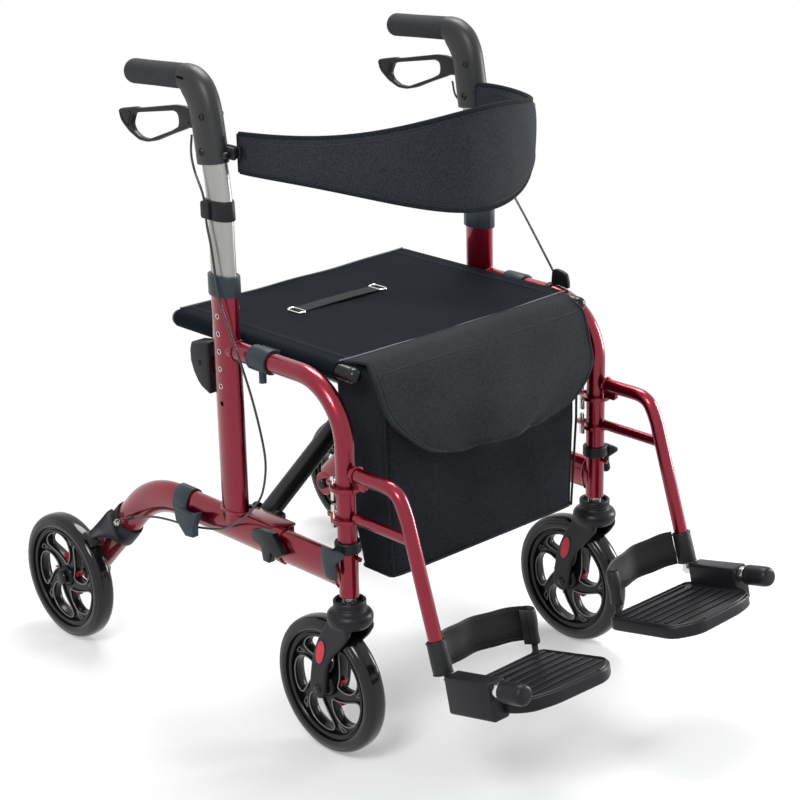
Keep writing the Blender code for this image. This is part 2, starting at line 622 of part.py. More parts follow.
def brake_shoe():
    """Arm on the housing's pin that reaches over the tyre and ends in the pressing pad."""
    angle = math.radians(SHOE_CONTACT_ANGLE)
    pad_radius = WHEEL_RADIUS + 0.0042
    arc_points = []
    for i in range(6):
        a = angle + math.radians(-8 + 16 * i / 5)
        arc_points.append((REAR_AXLE[0] - pad_radius * math.sin(a), REAR_AXLE[1] + pad_radius * math.cos(a)))
    outer = []
    for i in range(6):
        a = angle + math.radians(8 - 16 * i / 5)
        r = pad_radius + 0.0085 - 0.0035 * abs(i - 2.5) / 2.5
        outer.append((REAR_AXLE[0] - r * math.sin(a), REAR_AXLE[1] + r * math.cos(a)))
    pad = outline("right_brake_shoe", [arc_points + outer], 0.0260, REAR_WHEEL_X + 0.0045)
    py, pz = SHOE_PIVOT
    arm_shape = [(py - 0.0085, pz + 0.0020), (py - 0.0030, pz - 0.0085), (py + 0.0080, pz - 0.0060),
                 (py + 0.0300, pz - 0.0055), (py + 0.0480, pz - 0.0040), (py + 0.0540, pz + 0.0030),
                 (py + 0.0300, pz + 0.0120), (py + 0.0050, pz + 0.0085)]
    arm = outline("arm", [arm_shape], 0.0070, SIDE - 0.0298)
    arm = cut(arm, cylinder("hole", 0.0034, 0.030, (SIDE - 0.0298, *SHOE_PIVOT), "X", 10))
    return join(pad, arm)


# Footrest: a hanger that turns round the leg, a telescoping rod, a flip-up plate and a heel strap.
def along_stem(distance):
    """A point on the line of the hanger's lower run, measured upwards from the tube's end."""
    return Vector((SIDE, *HANGER_END)) + STEM_DIRECTION * distance


def stem_turn():
    return STEM_DIRECTION.to_track_quat("Z", "Y").to_matrix().to_4x4()


def footrest_hanger():
    rings = [cylinder("right_footrest_hanger", 0.0222, 0.006, (SIDE, LEG_Y, z), "Z", 14) for z in RING_Z]
    bend = [(-0.3185, 0.4325), (-0.3800, 0.4325), (-0.3935, 0.4300), (-0.4040, 0.4235), (-0.4115, 0.4120),
            (-0.4185, 0.3970)]
    arm = tube("arm", side_line(SIDE, bend) + [along_stem(0.0)], HANGER_RADIUS, 12)
    strut = tube("strut", side_line(SIDE, [(-0.3185, 0.3690), (-0.4260, 0.3690)]), 0.0075, 10)
    web = box("web", (SIDE - 0.0035, -0.3380, RING_Z[0] - 0.002), (SIDE + 0.0035, -0.3180, 0.4300))
    lobes = []
    for z in RING_Z:
        low = (SIDE - 0.0080, LEG_Y + 0.0120, z - 0.003)
        lobes.append(box("lobe", low, (SIDE + 0.0080, LEG_Y + 0.0340, z + 0.003)))
    pins = [cylinder("pin", 0.0042, 0.0440, (SIDE, LEG_Y + 0.0262, 0.4180), "Z", 8),
            cylinder("pin", 0.0042, 0.0300, (SIDE, LEG_Y + 0.0262, 0.3620), "Z", 8)]
    profile = [(0.0, 0.0455), (0.0128, 0.0455), (0.0132, 0.0420), (0.0136, 0.0040), (0.0120, 0.0), (0.0, 0.0)]
    sleeve = turned("sleeve", profile, along_stem(-0.0145), turn=stem_turn(), steps=14)
    hanger = join(rings[0], rings[1], arm, strut, web, *lobes, *pins, sleeve)
    hole = cylinder("hole", LEG_RADIUS + 0.0008, 0.100, (SIDE, LEG_Y, 0.3870), "Z", 12)
    bore = cylinder("bore", 0.0084, STEM_LENGTH + 0.0250, along_stem((STEM_LENGTH - 0.0170) / 2), sides=12,
                    turn=stem_turn())
    return cut(hanger, hole, bore)


def foot_turn():
    """Axes of the footplate: across, forward along its hinge and up from it."""
    forward = Vector((0, -math.cos(FOOT_AXIS_TILT), math.sin(FOOT_AXIS_TILT)))
    up = Vector((0, math.sin(FOOT_AXIS_TILT), math.cos(FOOT_AXIS_TILT)))
    return forward, up


def footrest_rod():
    """Length-adjusting rod: a stem in the hanger, an elbow and the plate's hinge pin with its cap."""
    forward, up = foot_turn()
    hinge = FOOT_AXIS_POINT.copy()
    hinge.x = SIDE
    low = hinge - forward * 0.1010
    corner = along_stem(-0.0230)
    points = [along_stem(STEM_LENGTH), along_stem(-0.0160), corner.lerp(low, 0.35), low]
    points.append(hinge + forward * 0.0040)
    rod = tube("right_footrest_rod", points, 0.0078, 12)
    facing = forward.to_track_quat("Z", "Y").to_matrix().to_4x4()
    profile = [(0.0, 0.0530), (0.0105, 0.0528), (0.0142, 0.0490), (0.0145, 0.0120), (0.0130, 0.0095),
               (0.0110, 0.0090), (0.0110, 0.0000), (0.0, 0.0000)]
    cap = turned("cap", profile, hinge, turn=facing, steps=14)
    return join(rod, cap)


def footplate():
    """Ribbed plate with a raised hinge block on its outer side and a post for the heel strap."""
    forward, up = foot_turn()
    hinge = FOOT_AXIS_POINT.copy()
    hinge.x = SIDE
    frame = Matrix.Identity(4)
    for row in range(3):
        frame[row][0] = (1, 0, 0)[row]
        frame[row][1] = -forward[row]
        frame[row][2] = up[row]
        frame[row][3] = hinge[row]
    plate_loop = [(0.0080, 0.0975), (0.1815, 0.1005), (0.1870, -0.0240), (0.1540, -0.0480), (0.0600, -0.0440),
                  (0.0250, -0.0330), (0.0080, -0.0060)]
    plate = flat("right_footplate", plate_loop, -0.0350, -0.0170, 0.0030)
    ribs = []
    for i in range(7):
        v = 0.0850 - 0.0175 * i
        ribs.append(flat("rib", [(0.0300, v - 0.0022), (0.0300, v + 0.0022), (0.1740, v + 0.0022),
                                 (0.1740, v - 0.0022)], -0.0175, -0.0152, 0.0))
    block = flat("block", [(-0.0135, 0.0004), (-0.0135, 0.0836), (0.0160, 0.0836), (0.0160, 0.0004)], -0.0400,
                 0.0125, 0.0030)
    post = cylinder("post", 0.0052, 0.0800, (0.1640, 0.0925, 0.0090), "Z", 10)
    made = join(plate, block, post, *ribs)
    made = cut(made, cylinder("bore", 0.0085, 0.300, (0.0, 0.0500, 0.0), "Y", 12))
    made.data.transform(frame)
    return made


def flat(name, loop, low, high, bevel):
    """A flat plate from an outline of (x, y) points between two heights."""
    made = outline(name, [loop], high - low, (low + high) / 2)
    # the outline lies in the (y, z) plane, so it is turned to lie flat
    made.data.transform(Matrix(((0, 1, 0, 0), (0, 0, 1, 0), (1, 0, 0, 0), (0, 0, 0, 1))))
    return soften(made, bevel) if bevel else made


def heel_strap():
    """Webbing band behind the heels, from the rod's sleeve to the plate's post."""
    outer_end = Vector((SIDE + 0.0150, -0.4660, 0.2185))
    inner_end = Vector((-0.0800, -0.4775, 0.2120))
    rings = []
    steps = 10
    for i in range(steps + 1):
        t = i / steps
        middle = outer_end.lerp(inner_end, t)
        middle.y += 0.0160 * 4 * t * (1 - t)
        slope = Vector((inner_end.x - outer_end.x, 0.0160 * 4 * (1 - 2 * t), 0)).normalized()
        normal = Vector((-slope.y, slope.x, 0))
        half = 0.0230
        upright = Vector((0, 0.305 - 0.085 * t, 1))
        lift = 0.003 * math.sin(math.pi * t)
        corners = [(-0.0010, -half), (0.0010, -half), (0.0010, half + lift), (-0.0010, half + lift)]
        rings.append([middle + normal * n + upright * h for n, h in corners])
    return loft("right_heel_strap", rings)


# Cross brace, seat rails, sling seat, bag and backrest
def seat_rail():
    r = SEAT_RAIL_RADIUS
    front, back = -0.2990, 0.0930
    length = back - front
    profile = [(0.0, length), (r * 0.8, length), (r, length - 0.0020), (r, 0.0080), (r * 0.7, 0.0020),
               (0.0, 0.0)]
    return turned("right_seat_rail", profile, (-SEAT_RAIL_X, front, SEAT_RAIL_Z), "Y", 12)


def brace_bar(name, foot_y):
    """One bar of the cross brace, from its foot on the right rail up to the left seat rail."""
    run, rise = 2 * SEAT_RAIL_X, SEAT_RAIL_Z - BRACE_FOOT_Z
    length = math.hypot(run, rise)
    half = BAR_HEIGHT / 2
    ux, uz = run / length, rise / length
    loop = []
    for i in range(9):
        a = math.radians(90 + 180 * i / 8)
        loop.append((half * math.cos(a), half * math.sin(a)))
    loop += [(length - 0.0080, -half), (length - 0.0080, half)]
    loop = [(s * ux - n * uz, s * uz + n * ux) for s, n in loop]
    bar = outline(name, [loop], BAR_DEPTH)
    # local (thickness, along x, along z) becomes (x, y, z) with the bar's foot at the origin
    bar.data.transform(Matrix(((0, 1, 0, 0), (1, 0, 0, 0), (0, 0, 1, 0), (0, 0, 0, 1))))
    bar.data.transform(Matrix(((1, 0, 0, 0), (BRACE_SKEW, 1, 0, 0), (0, 0, 1, 0), (0, 0, 0, 1))))
    bar.data.transform(Matrix.Translation((-SEAT_RAIL_X, foot_y, BRACE_FOOT_Z)))
    bar.data.update()
    fix = bmesh.new()
    fix.from_mesh(bar.data)
    bmesh.ops.recalc_face_normals(fix, faces=fix.faces)
    fix.to_mesh(bar.data)
    fix.free()
    middle_y = foot_y + BRACE_SKEW * SEAT_RAIL_X
    foot_hole = cylinder("foot_hole", 0.0044, 0.060, (-SEAT_RAIL_X, foot_y, BRACE_FOOT_Z), "Y", 12)
    middle = (0, middle_y, (BRACE_FOOT_Z + SEAT_RAIL_Z) / 2)
    middle_hole = cylinder("middle_hole", 0.0044, 0.060, middle, "Y", 12)
    saddle = cylinder("saddle", SEAT_RAIL_RADIUS + 0.0028, 0.090,
                      (SEAT_RAIL_X, foot_y + BRACE_SKEW * run, SEAT_RAIL_Z), "Y", 20)
    return cut(bar, foot_hole, middle_hole, saddle)


def cross_brace():
    front = brace_bar("cross_bar_front", BRACE_FRONT_FOOT_Y)
    twin = brace_bar("twin", BRACE_FRONT_FOOT_Y + BRACE_OFFSET_Y)
    rear = mirrored(twin, "cross_bar_rear")
    bpy.data.objects.remove(twin)
    return front, rear


def pivot_bolt():
    middle_y = BRACE_FRONT_FOOT_Y + BRACE_SKEW * SEAT_RAIL_X + BRACE_OFFSET_Y / 2
    middle_z = (BRACE_FOOT_Z + SEAT_RAIL_Z) / 2
    profile = [(0.0, 0.0460), (0.0070, 0.0455), (0.0080, 0.0400), (0.0080, 0.0385), (0.0040, 0.0385),
               (0.0040, -0.0385), (0.0080, -0.0385), (0.0080, -0.0450), (0.0, -0.0450)]
    return turned("cross_pivot_bolt", profile, (0, middle_y, middle_z), "Y", 12)


def seat():
    """Sling seat: a panel with a sleeve round each seat rail, sagging a little between them."""
    inner = SEAT_RAIL_RADIUS + 2 * GAP
    outer = inner + 0.0016
    top = []
    for i in range(13):
        x = -SEAT_RAIL_X + 2 * SEAT_RAIL_X * i / 12
        sag = 0.0030 * (1 - (x / SEAT_RAIL_X) ** 2)
        top.append((x, SEAT_RAIL_Z + outer - sag))
    left = [(SEAT_RAIL_X + outer * math.cos(a), SEAT_RAIL_Z + outer * math.sin(a))
            for a in [math.radians(90 - 45 * k) for k in range(1, 6)]]
    left.append((SEAT_RAIL_X - outer, SEAT_RAIL_Z + 0.0075))
    under = [(x, z - 0.0030) for x, z in top[1:-1]][::-1]
    right = [(-x, z) for x, z in left][::-1]
    loop = top + left + under + right
    holes = []
    for side in (1, -1):
        holes.append([(side * SEAT_RAIL_X + inner * math.cos(2 * math.pi * k / 14),
                       SEAT_RAIL_Z + inner * math.sin(2 * math.pi * k / 14)) for k in range(14)])
    made = outline("seat", [loop] + holes, 0.347, 0.0)
    made.data.transform(Matrix(((0, 1, 0, 0), (1, 0, 0, -0.0885), (0, 0, 1, 0), (0, 0, 0, 1))))
    made.data.flip_normals()
    return made


def bag():
    """Shopping bag under the seat: a soft box, a little narrower and shallower at the bottom."""
    side = [(-0.3165, 0.2610), (-0.3165, 0.5250), (-0.2950, 0.5560), (-0.2140, 0.5560), (-0.2180, 0.4000),
            (-0.2530, 0.2610)]
    body = outline("bag", [side], 2 * BAG_HALF)
    for vertex in body.data.vertices:
        vertex.co.x *= 1 - BAG_TAPER * max(0.0, (0.400 - vertex.co.z) / 0.139)
    return soften(body, 0.010, 2)


def bag_flap():
    """Cloth flap: off the seat's front edge, over the bag's lip and out as it falls, with rounded corners."""
    section = [(-0.2640, 0.5690, 0.2140), (-0.2800, 0.5700, 0.2060), (-0.2950, 0.5680, 0.1995),
               (-0.3115, 0.5577, 0.2039), (-0.3235, 0.5440, 0.2046), (-0.3380, 0.5130, 0.2010),
               (-0.3490, 0.4914, 0.1938), (-0.3570, 0.4728, 0.1765), (-0.3600, 0.4520, 0.1517),
               (-0.3610, 0.4400, 0.1250), (-0.3610, 0.4310, 0.0850)]
    columns = 12
    shape = bmesh.new()
    rows = []
    for k, (y, z, half) in enumerate(section):
        row = []
        for i in range(columns + 1):
            s = 2 * i / columns - 1
            belly = 0.0050 * math.cos(s * math.pi * 1.5) * min(1.0, max(0.0, (k - 3) / 4))
            bend = 0.010 * s ** 4 * min(1.0, max(0.0, (k - 2) / 3))
            row.append(shape.verts.new((half * s, y - belly + bend, z)))
        rows.append(row)
    for first, second in zip(rows, rows[1:]):
        for i in range(columns):
            shape.faces.new((first[i], second[i], second[i + 1], first[i + 1]))
    mesh = bpy.data.meshes.new("bag_flap")
    shape.to_mesh(mesh)
    shape.free()
    obj = bpy.data.objects.new("bag_flap", mesh)
    PARTS.objects.link(obj)
    thick = obj.modifiers.new("cloth", "SOLIDIFY")
    thick.thickness = 0.0030
    thick.offset = 0.0
    return freeze(obj, "bag_flap")


def backrest():
    """Padded band bowed out to the front, tall in the middle and tapered to its hinge tabs."""
    rings = []
    steps = 24
    for i in range(steps + 1):
        angle = math.pi * i / steps
        bow = math.sin(angle)
        across = abs(math.cos(angle)) ** 1.05
        x = math.copysign(BACKREST_HALF_WIDTH * across, -math.cos(angle))
        y = BACKREST_HINGE[0] - BACKREST_BULGE * bow ** 1.05
        slope = Vector((BACKREST_HALF_WIDTH * bow, -BACKREST_BULGE * math.cos(angle), 0)).normalized()
        normal = Vector((-slope.y, slope.x, 0))
        swell = min(1.0, bow / 0.5) ** 1.5
        top = 0.8534 + 0.0364 * bow ** 3.9 + 0.0160 * bow * (1 - bow)
        low = 0.7992 - 0.0497 * bow ** 3.0
        middle = Vector((x, y, (top + low) / 2))
        thick = 0.0040 + 0.0035 * swell
        rings.append(oval_ring(middle, normal, Vector((0, 0, 1)), thick, (top - low) / 2, 10, 4.0))
    return loft("backrest", rings)


def cable_guide():
    """Strapped tab on the left top tube that the left cable runs past."""
    tab_shape = [(-0.2415, 0.5618), (-0.2265, 0.5646), (-0.2065, 0.5653), (-0.2085, 0.5860),
                 (-0.2145, 0.5890), (-0.2375, 0.5840)]
    tab = outline("cable_guide", [tab_shape], 0.0060, FRAME_X + 0.0050)
    band = cylinder("band", 0.0162, 0.0100, (FRAME_X, -0.2085, TOP_TUBE_Z), "Y", 16)
    band = cut(band, cylinder("hole", LEG_RADIUS + 2 * GAP, 0.030, (FRAME_X, -0.2085, TOP_TUBE_Z), "Y", 16))
    return join(tab, band)


RIGHT_PIECES = (
    side_frame, post_collar, height_lock, saddle_clip, rail_clamp, brace_bracket, leg_collar, rear_axle,
    front_axle, caster_fork, handle_tube, handle_body, grip, brake_lever, brake_cable, brake_housing,
    brake_shoe, footrest_hanger, footrest_rod, footplate, heel_strap, seat_rail,
)

# Each moving piece has its origin on its joint's axis.
PIVOTS = {
    "rear_tyre": (REAR_WHEEL_X, *REAR_AXLE), "rear_rim": (REAR_WHEEL_X, *REAR_AXLE),
    "front_tyre": (SIDE, *FRONT_AXLE), "front_rim": (SIDE, *FRONT_AXLE),
    "caster_fork": (SIDE, LEG_Y, 0.2500), "front_axle": (SIDE, *FRONT_AXLE),
    "brake_lever": (SIDE, *LEVER_PIVOT), "brake_shoe": (SIDE - 0.0298, *SHOE_PIVOT),
    "height_lock": (SIDE, *LOCK_PIVOT), "footrest_hanger": (SIDE, LEG_Y, 0.3870),
    "footplate": (SIDE, FOOT_AXIS_POINT.y, FOOT_AXIS_POINT.z),
    "seat_rail": (-SEAT_RAIL_X, -0.100, SEAT_RAIL_Z),
}

LOOKS = {
    "frame": ("burgundy_paint", (0.23, 0.006, 0.018), 0.28, 0.6),
    "footrest_hanger": ("burgundy_paint", None, None, None),
    "handle_tube": ("satin_silver", (0.62, 0.62, 0.60), 0.32, 0.9),
    "seat_rail": ("black_paint", None, None, None),
    "rear_axle": ("satin_silver", None, None, None),
    "front_axle": ("satin_silver", None, None, None),
    "footrest_rod": ("satin_silver", None, None, None),
    "cross_pivot_bolt": ("satin_silver", None, None, None),
    "grip": ("foam_grip", (0.03, 0.03, 0.032), 0.75, 0.0),
    "rear_tyre": ("tyre_rubber", (0.012, 0.012, 0.013), 0.30, 0.0),
    "front_tyre": ("tyre_rubber", None, None, None),
    "rear_rim": ("rim_plastic", (0.015, 0.015, 0.016), 0.35, 0.0),
    "front_rim": ("rim_plastic", None, None, None),
    "brake_cable": ("cable_sheath", (0.01, 0.01, 0.01), 0.45, 0.0),
    "cable_guide": ("cable_sheath", None, None, None),
    "cross_bar": ("black_paint", (0.012, 0.012, 0.013), 0.35, 0.4),
    "seat": ("black_fabric", (0.016, 0.017, 0.019), 0.85, 0.0),
    "bag": ("black_fabric", None, None, None),
    "backrest": ("black_fabric", None, None, None),
    "heel_strap": ("black_fabric", None, None, None),
    "": ("black_plastic", (0.02, 0.021, 0.023), 0.45, 0.0),
}


def dress(obj, made):
    """Gives a piece its own material, after the finish that its name calls for."""
    plain = obj.name.replace("right_", "").replace("left_", "")
    key = max((k for k in LOOKS if plain.startswith(k)), key=len)
    finish_name = LOOKS[key][0]
    if finish_name not in made:
        first = next(look for look in LOOKS.values() if look[0] == finish_name and look[1])
        made[finish_name] = first
    _, colour, roughness, metallic = made[finish_name]
    obj.data.materials.clear()
    obj.data.materials.append(material(f"{obj.name}_{finish_name}", colour, roughness, metallic))


def place(obj):
    """Moves a piece's origin onto its joint's axis, then the piece to the centred layout."""
    plain = obj.name.replace("right_", "").replace("left_", "")
    pivot = Vector(PIVOTS.get(plain, (0, 0, 0)))
    if obj.name.startswith("left_"):
        pivot.x = -pivot.x
    obj.data.transform(Matrix.Translation(-pivot))
    obj.location = pivot + Vector((0, ORIGIN_SHIFT_Y, 0))


def build():
    clear_scene()
    collections()
    right = [make() for make in RIGHT_PIECES]
    right.append(rim("right_rear_rim", REAR_WHEEL_X, REAR_AXLE, 0.0135, 0.0054))
    right.append(tyre("right_rear_tyre", REAR_WHEEL_X, REAR_AXLE))
    right.append(rim("right_front_rim", SIDE, FRONT_AXLE, 0.0172, 0.0044))
    right.append(tyre("right_front_tyre", SIDE, FRONT_AXLE))
    single = ("right_brace_bracket", "right_brake_cable")
    left = [mirrored(obj, obj.name.replace("right_", "left_")) for obj in right if obj.name not in single]
    left.append(left_cable())
    bracket = brace_bracket("bracket", BRACE_FRONT_FOOT_Y + BRACE_OFFSET_Y)
    left.append(mirrored(bracket, "left_brace_bracket"))
    bpy.data.objects.remove(bracket)
    front_bar, rear_bar = cross_brace()
    middle = [front_bar, rear_bar, pivot_bolt(), seat(), bag(), bag_flap(), backrest(), cable_guide()]
    made = {}
    for obj in right + left + middle:
        dress(obj, made)
        place(obj)
    total = 0
    for obj in right + left + middle:
        obj.data.calc_loop_triangles()
        total += len(obj.data.loop_triangles)
        print(f"{obj.name}: {len(obj.data.loop_triangles)} triangles")
    print("triangles in all:", total)


build()
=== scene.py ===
import json
import math

import bmesh
import bpy
import numpy as np
from mathutils import Matrix, Vector


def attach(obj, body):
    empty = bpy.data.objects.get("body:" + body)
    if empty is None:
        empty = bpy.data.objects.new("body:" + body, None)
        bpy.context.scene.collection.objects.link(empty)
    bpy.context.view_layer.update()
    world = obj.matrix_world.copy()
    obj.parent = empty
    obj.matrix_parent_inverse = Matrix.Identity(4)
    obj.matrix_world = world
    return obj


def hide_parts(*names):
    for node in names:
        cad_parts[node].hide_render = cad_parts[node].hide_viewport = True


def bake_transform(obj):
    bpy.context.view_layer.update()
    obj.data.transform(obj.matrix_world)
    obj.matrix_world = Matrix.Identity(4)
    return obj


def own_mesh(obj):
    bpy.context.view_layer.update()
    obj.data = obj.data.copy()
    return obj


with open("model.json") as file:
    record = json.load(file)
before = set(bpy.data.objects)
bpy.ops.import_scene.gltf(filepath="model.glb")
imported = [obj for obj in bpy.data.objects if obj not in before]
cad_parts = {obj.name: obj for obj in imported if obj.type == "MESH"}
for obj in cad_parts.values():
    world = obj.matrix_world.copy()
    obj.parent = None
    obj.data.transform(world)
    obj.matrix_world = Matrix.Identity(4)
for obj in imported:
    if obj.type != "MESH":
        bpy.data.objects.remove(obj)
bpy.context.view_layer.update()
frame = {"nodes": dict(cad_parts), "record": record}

BODY_OF = {node: body for body, nodes in frame["record"]["behaviour"]["bodies"].items() for node in nodes}

# Measures of the walker in metres, as the solids have them: the front is -Y and the right side -X.
X, Y, Z = Vector((1, 0, 0)), Vector((0, 1, 0)), Vector((0, 0, 1))
MIRROR = Matrix.Scale(-1, 4, X)
SHIFT = Vector((0.0, 0.1104, 0.0))
SIDE = -0.249
LEG_Y = -0.300
LEG_RADIUS = 0.01375
TOP_TUBE_Z = 0.551
TOP_BEND_RADIUS = 0.085
POST_Y = -0.0583
POST_FOOT_Z, POST_TOP_Z = 0.286, 0.650
POST_SECTION = (0.050, 0.030)
POST_BORE = (0.0472, 0.0272)
RAIL_Z = 0.2835
RAIL_SECTION = (0.050, 0.030)
RAIL_BEND_Y = 0.0718
RAIL_BEND_RADIUS = 0.160
RAIL_END = Vector((SIDE, 0.2130, 0.2086))
DOWN_RAIL = Vector((0, 1, -1)).normalized()
OFF_RAIL = Vector((0, 1, 1)).normalized()
HOLE_PITCH = 0.0256
HOLE_TOP_Z = 0.5994
HOLE_COUNT = 6
WHEEL_RADIUS = 0.1015
RIM_RADIUS = 0.0817
SPOKES = 5
REAR_WHEEL_X = -0.297
REAR_AXLE = (0.3125, 0.1015)
FRONT_AXLE = (-0.256, 0.1015)
FORK_CHEEK = 0.0256
SEAT_RAIL_X = 0.2205
SEAT_RAIL_Z = 0.557
SEAT_RAIL_RADIUS = 0.011
SLEEVE_RADIUS = SEAT_RAIL_RADIUS + 0.0022
SEAT_SAG = 0.0030
BRACE_FOOT_Z = 0.3035
HANDLE_SECTION = (0.0464, 0.0264)
GRIP_RADIUS = 0.0175
GRIP_START = (0.0035, 0.9232)
GRIP_END = (0.132, 0.9157)
LEVER_PIVOT = (-0.016, 0.865)
LOCK_PIVOT = (-0.0075, 0.5195)
CABLE_RADIUS = 0.0017
HANGER_RADIUS = 0.010
HANGER_END = (-0.4780, 0.2110)
STEM_DIRECTION = Vector((0, 0.0595, 0.1860)).normalized()
RING_Z = (0.4096, 0.3641)
FOOT_HINGE = Vector((SIDE, -0.5804, 0.2090))
FOOT_TILT = math.radians(12.6)
FOOT_FORWARD = Vector((0, -math.cos(FOOT_TILT), math.sin(FOOT_TILT)))
FOOT_UP = Vector((0, math.sin(FOOT_TILT), math.cos(FOOT_TILT)))
BACKREST_HALF_WIDTH = 0.2268
BACKREST_HINGE = (-0.0790, 0.8270)
BACKREST_BULGE = 0.250


def put(thing):
    bpy.context.scene.collection.objects.link(thing)
    return thing


def camera():
    """Camera at the photograph's angle."""
    azimuth, pitch, roll = math.radians(-42.70), math.radians(19.72), math.radians(-1.25)
    level_back = Vector((math.sin(azimuth), -math.cos(azimuth), 0.0))
    back = level_back * math.cos(pitch) + Z * math.sin(pitch)
    level = Vector((math.cos(azimuth), math.sin(azimuth), 0.0))
    upright = back.cross(level)
    right = math.cos(roll) * level + math.sin(roll) * upright
    up = -math.sin(roll) * level + math.cos(roll) * upright
    data = bpy.data.cameras.new("camera")
    data.sensor_width, data.lens, data.clip_end = 36.0, 93.12, 50.0
    eye = put(bpy.data.objects.new("camera", data))
    place = Matrix((right, up, back)).transposed().to_4x4()
    place.translation = Vector((-1.9316, -2.2334, 1.4495)) + SHIFT
    eye.matrix_world = place
    bpy.context.scene.camera = eye


# Nodes: shader maths is written as Python expressions on Values.
def maths(operation, swapped=False):
    def step(value, *others):
        terms = (*others, value) if swapped else (value, *others)
        return value.nodes.node("ShaderNodeMath", {"operation": operation}, dict(enumerate(terms)))
    return step


class Value:
    """A node's output that adds Math nodes as it is used."""

    def __init__(self, nodes, socket):
        self.nodes = nodes
        self.socket = socket

    __add__ = __radd__ = maths("ADD")
    __mul__ = __rmul__ = maths("MULTIPLY")
    __sub__ = maths("SUBTRACT")
    __rsub__ = maths("SUBTRACT", swapped=True)
    __truediv__ = maths("DIVIDE")
    __pow__ = maths("POWER")
    sine = maths("SINE")
    absolute = maths("ABSOLUTE")
    above = maths("GREATER_THAN")
    most = maths("MAXIMUM")
    least = maths("MINIMUM")

    def other(self, label):
        return Value(self.nodes, self.socket.node.outputs[label])


class Nodes:
    """One node tree and the ways to add to it."""

    def __init__(self, tree):
        self.tree = tree

    def feed(self, socket, value):
        if isinstance(value, Value):
            self.tree.links.new(value.socket, socket)
        elif isinstance(value, tuple) and socket.type == "RGBA":
            socket.default_value = (*value, 1.0)
        else:
            socket.default_value = value

    def node(self, kind, settings=None, sockets=None, output=0):
        """Adds a node: its settings first, then the values or links of its sockets."""
        made = self.tree.nodes.new(kind)
        for key, value in (settings or {}).items():
            setattr(made, key, value)
        for key, value in (sockets or {}).items():
            self.feed(made.inputs[key], value)
        return Value(self, made.outputs[output])

    def place(self, kind="Object"):
        return self.node("ShaderNodeTexCoord", output=kind)

    def ray(self, kind):
        return self.node("ShaderNodeLightPath", output=f"Is {kind} Ray")

    def scaled(self, source, scale):
        return self.node("ShaderNodeMapping", None, {"Vector": source, "Scale": scale})

    def noise(self, source, scale, detail=2.0):
        return self.node("ShaderNodeTexNoise", None, {"Vector": source, "Scale": scale, "Detail": detail})

    def axis(self, source, index):
        return self.node("ShaderNodeSeparateXYZ", None, {"Vector": source}, output=index)

    def between(self, share, first, second):
        return self.node("ShaderNodeMix", {"data_type": "RGBA"}, {0: share, 6: first, 7: second}, output=2)

    def close_with(self, share, first, second, end):
        """Ends the tree with a mix of two shaders."""
        mixed = self.node("ShaderNodeMixShader", None, {0: share, 1: first, 2: second})
        self.feed(self.tree.nodes[end].inputs[0], mixed)


class Look(Nodes):
    """One material: a Principled shader and the nodes that feed it."""

    def __init__(self, name, colour, roughness, metallic=0.0, **plain):
        self.material = bpy.data.materials.new(name)
        self.material.use_nodes = True
        super().__init__(self.material.node_tree)
        self.shader = self.tree.nodes["Principled BSDF"]
        self.set(Base_Color=colour, Roughness=roughness, Metallic=metallic, **plain)

    def set(self, **sockets):
        for socket, value in sockets.items():
            self.feed(self.shader.inputs[socket.replace("_", " ")], value)

    def bump(self, height, strength, distance):
        self.set(Normal=self.node("ShaderNodeBump", None,
                                  {"Height": height, "Strength": strength, "Distance": distance}))
        return self.material


# Finishes
def burgundy_paint():
    look = Look("burgundy_paint", (0.36, 0.002, 0.033), 0.30, 0.88, Coat_Weight=1.0, Coat_IOR=1.42,
                Coat_Roughness=0.045)
    flake = look.noise(look.place(), 1400.0, 1.0)
    cloud = look.noise(look.place(), 9.0, 3.0)
    look.set(Base_Color=look.between(cloud, (0.190, 0.0007, 0.0150), (0.260, 0.0010, 0.0210)),
             Roughness=0.25 + flake * 0.14)
    return look.bump(flake, 0.035, 0.0004)


def satin_tube():
    look = Look("satin_tube", (0.56, 0.56, 0.54), 0.33, 0.85)
    streaks = look.noise(look.scaled(look.place(), (900.0, 900.0, 14.0)), 1.0)
    look.set(Base_Color=look.between(streaks, (0.30, 0.30, 0.29), (0.42, 0.42, 0.405)),
             Roughness=0.26 + streaks * 0.16)
    return look.bump(streaks, 0.03, 0.0003)


def plated_steel():
    look = Look("plated_steel", (0.70, 0.70, 0.68), 0.22, 1.0)
    haze = look.noise(look.place(), 420.0, 3.0)
    look.set(Roughness=0.16 + haze * 0.18)
    return look.bump(haze, 0.04, 0.0003)


def moulded_plastic(name, colour, roughness, grain, shine=0.22):
    look = Look(name, colour, roughness, Specular_IOR_Level=shine)
    fine = look.noise(look.place(), 1500.0)
    broad = look.noise(look.place(), 24.0, 3.0)
    look.set(Base_Color=look.between(broad, colour, tuple(c * 1.5 for c in colour)),
             Roughness=(roughness - 0.07) + broad * 0.10 + fine * 0.04)
    return look.bump(fine, grain, 0.0004)


def tyre_rubber():
    look = Look("tyre_rubber", (0.006, 0.006, 0.007), 0.14, Specular_IOR_Level=0.35)
    dust = look.noise(look.place(), 60.0, 4.0)
    fine = look.noise(look.place(), 900.0)
    look.set(Base_Color=look.between(dust, (0.003, 0.003, 0.004), (0.007, 0.007, 0.008)),
             Roughness=0.09 + dust * 0.08)
    return look.bump(fine, 0.03, 0.0003)


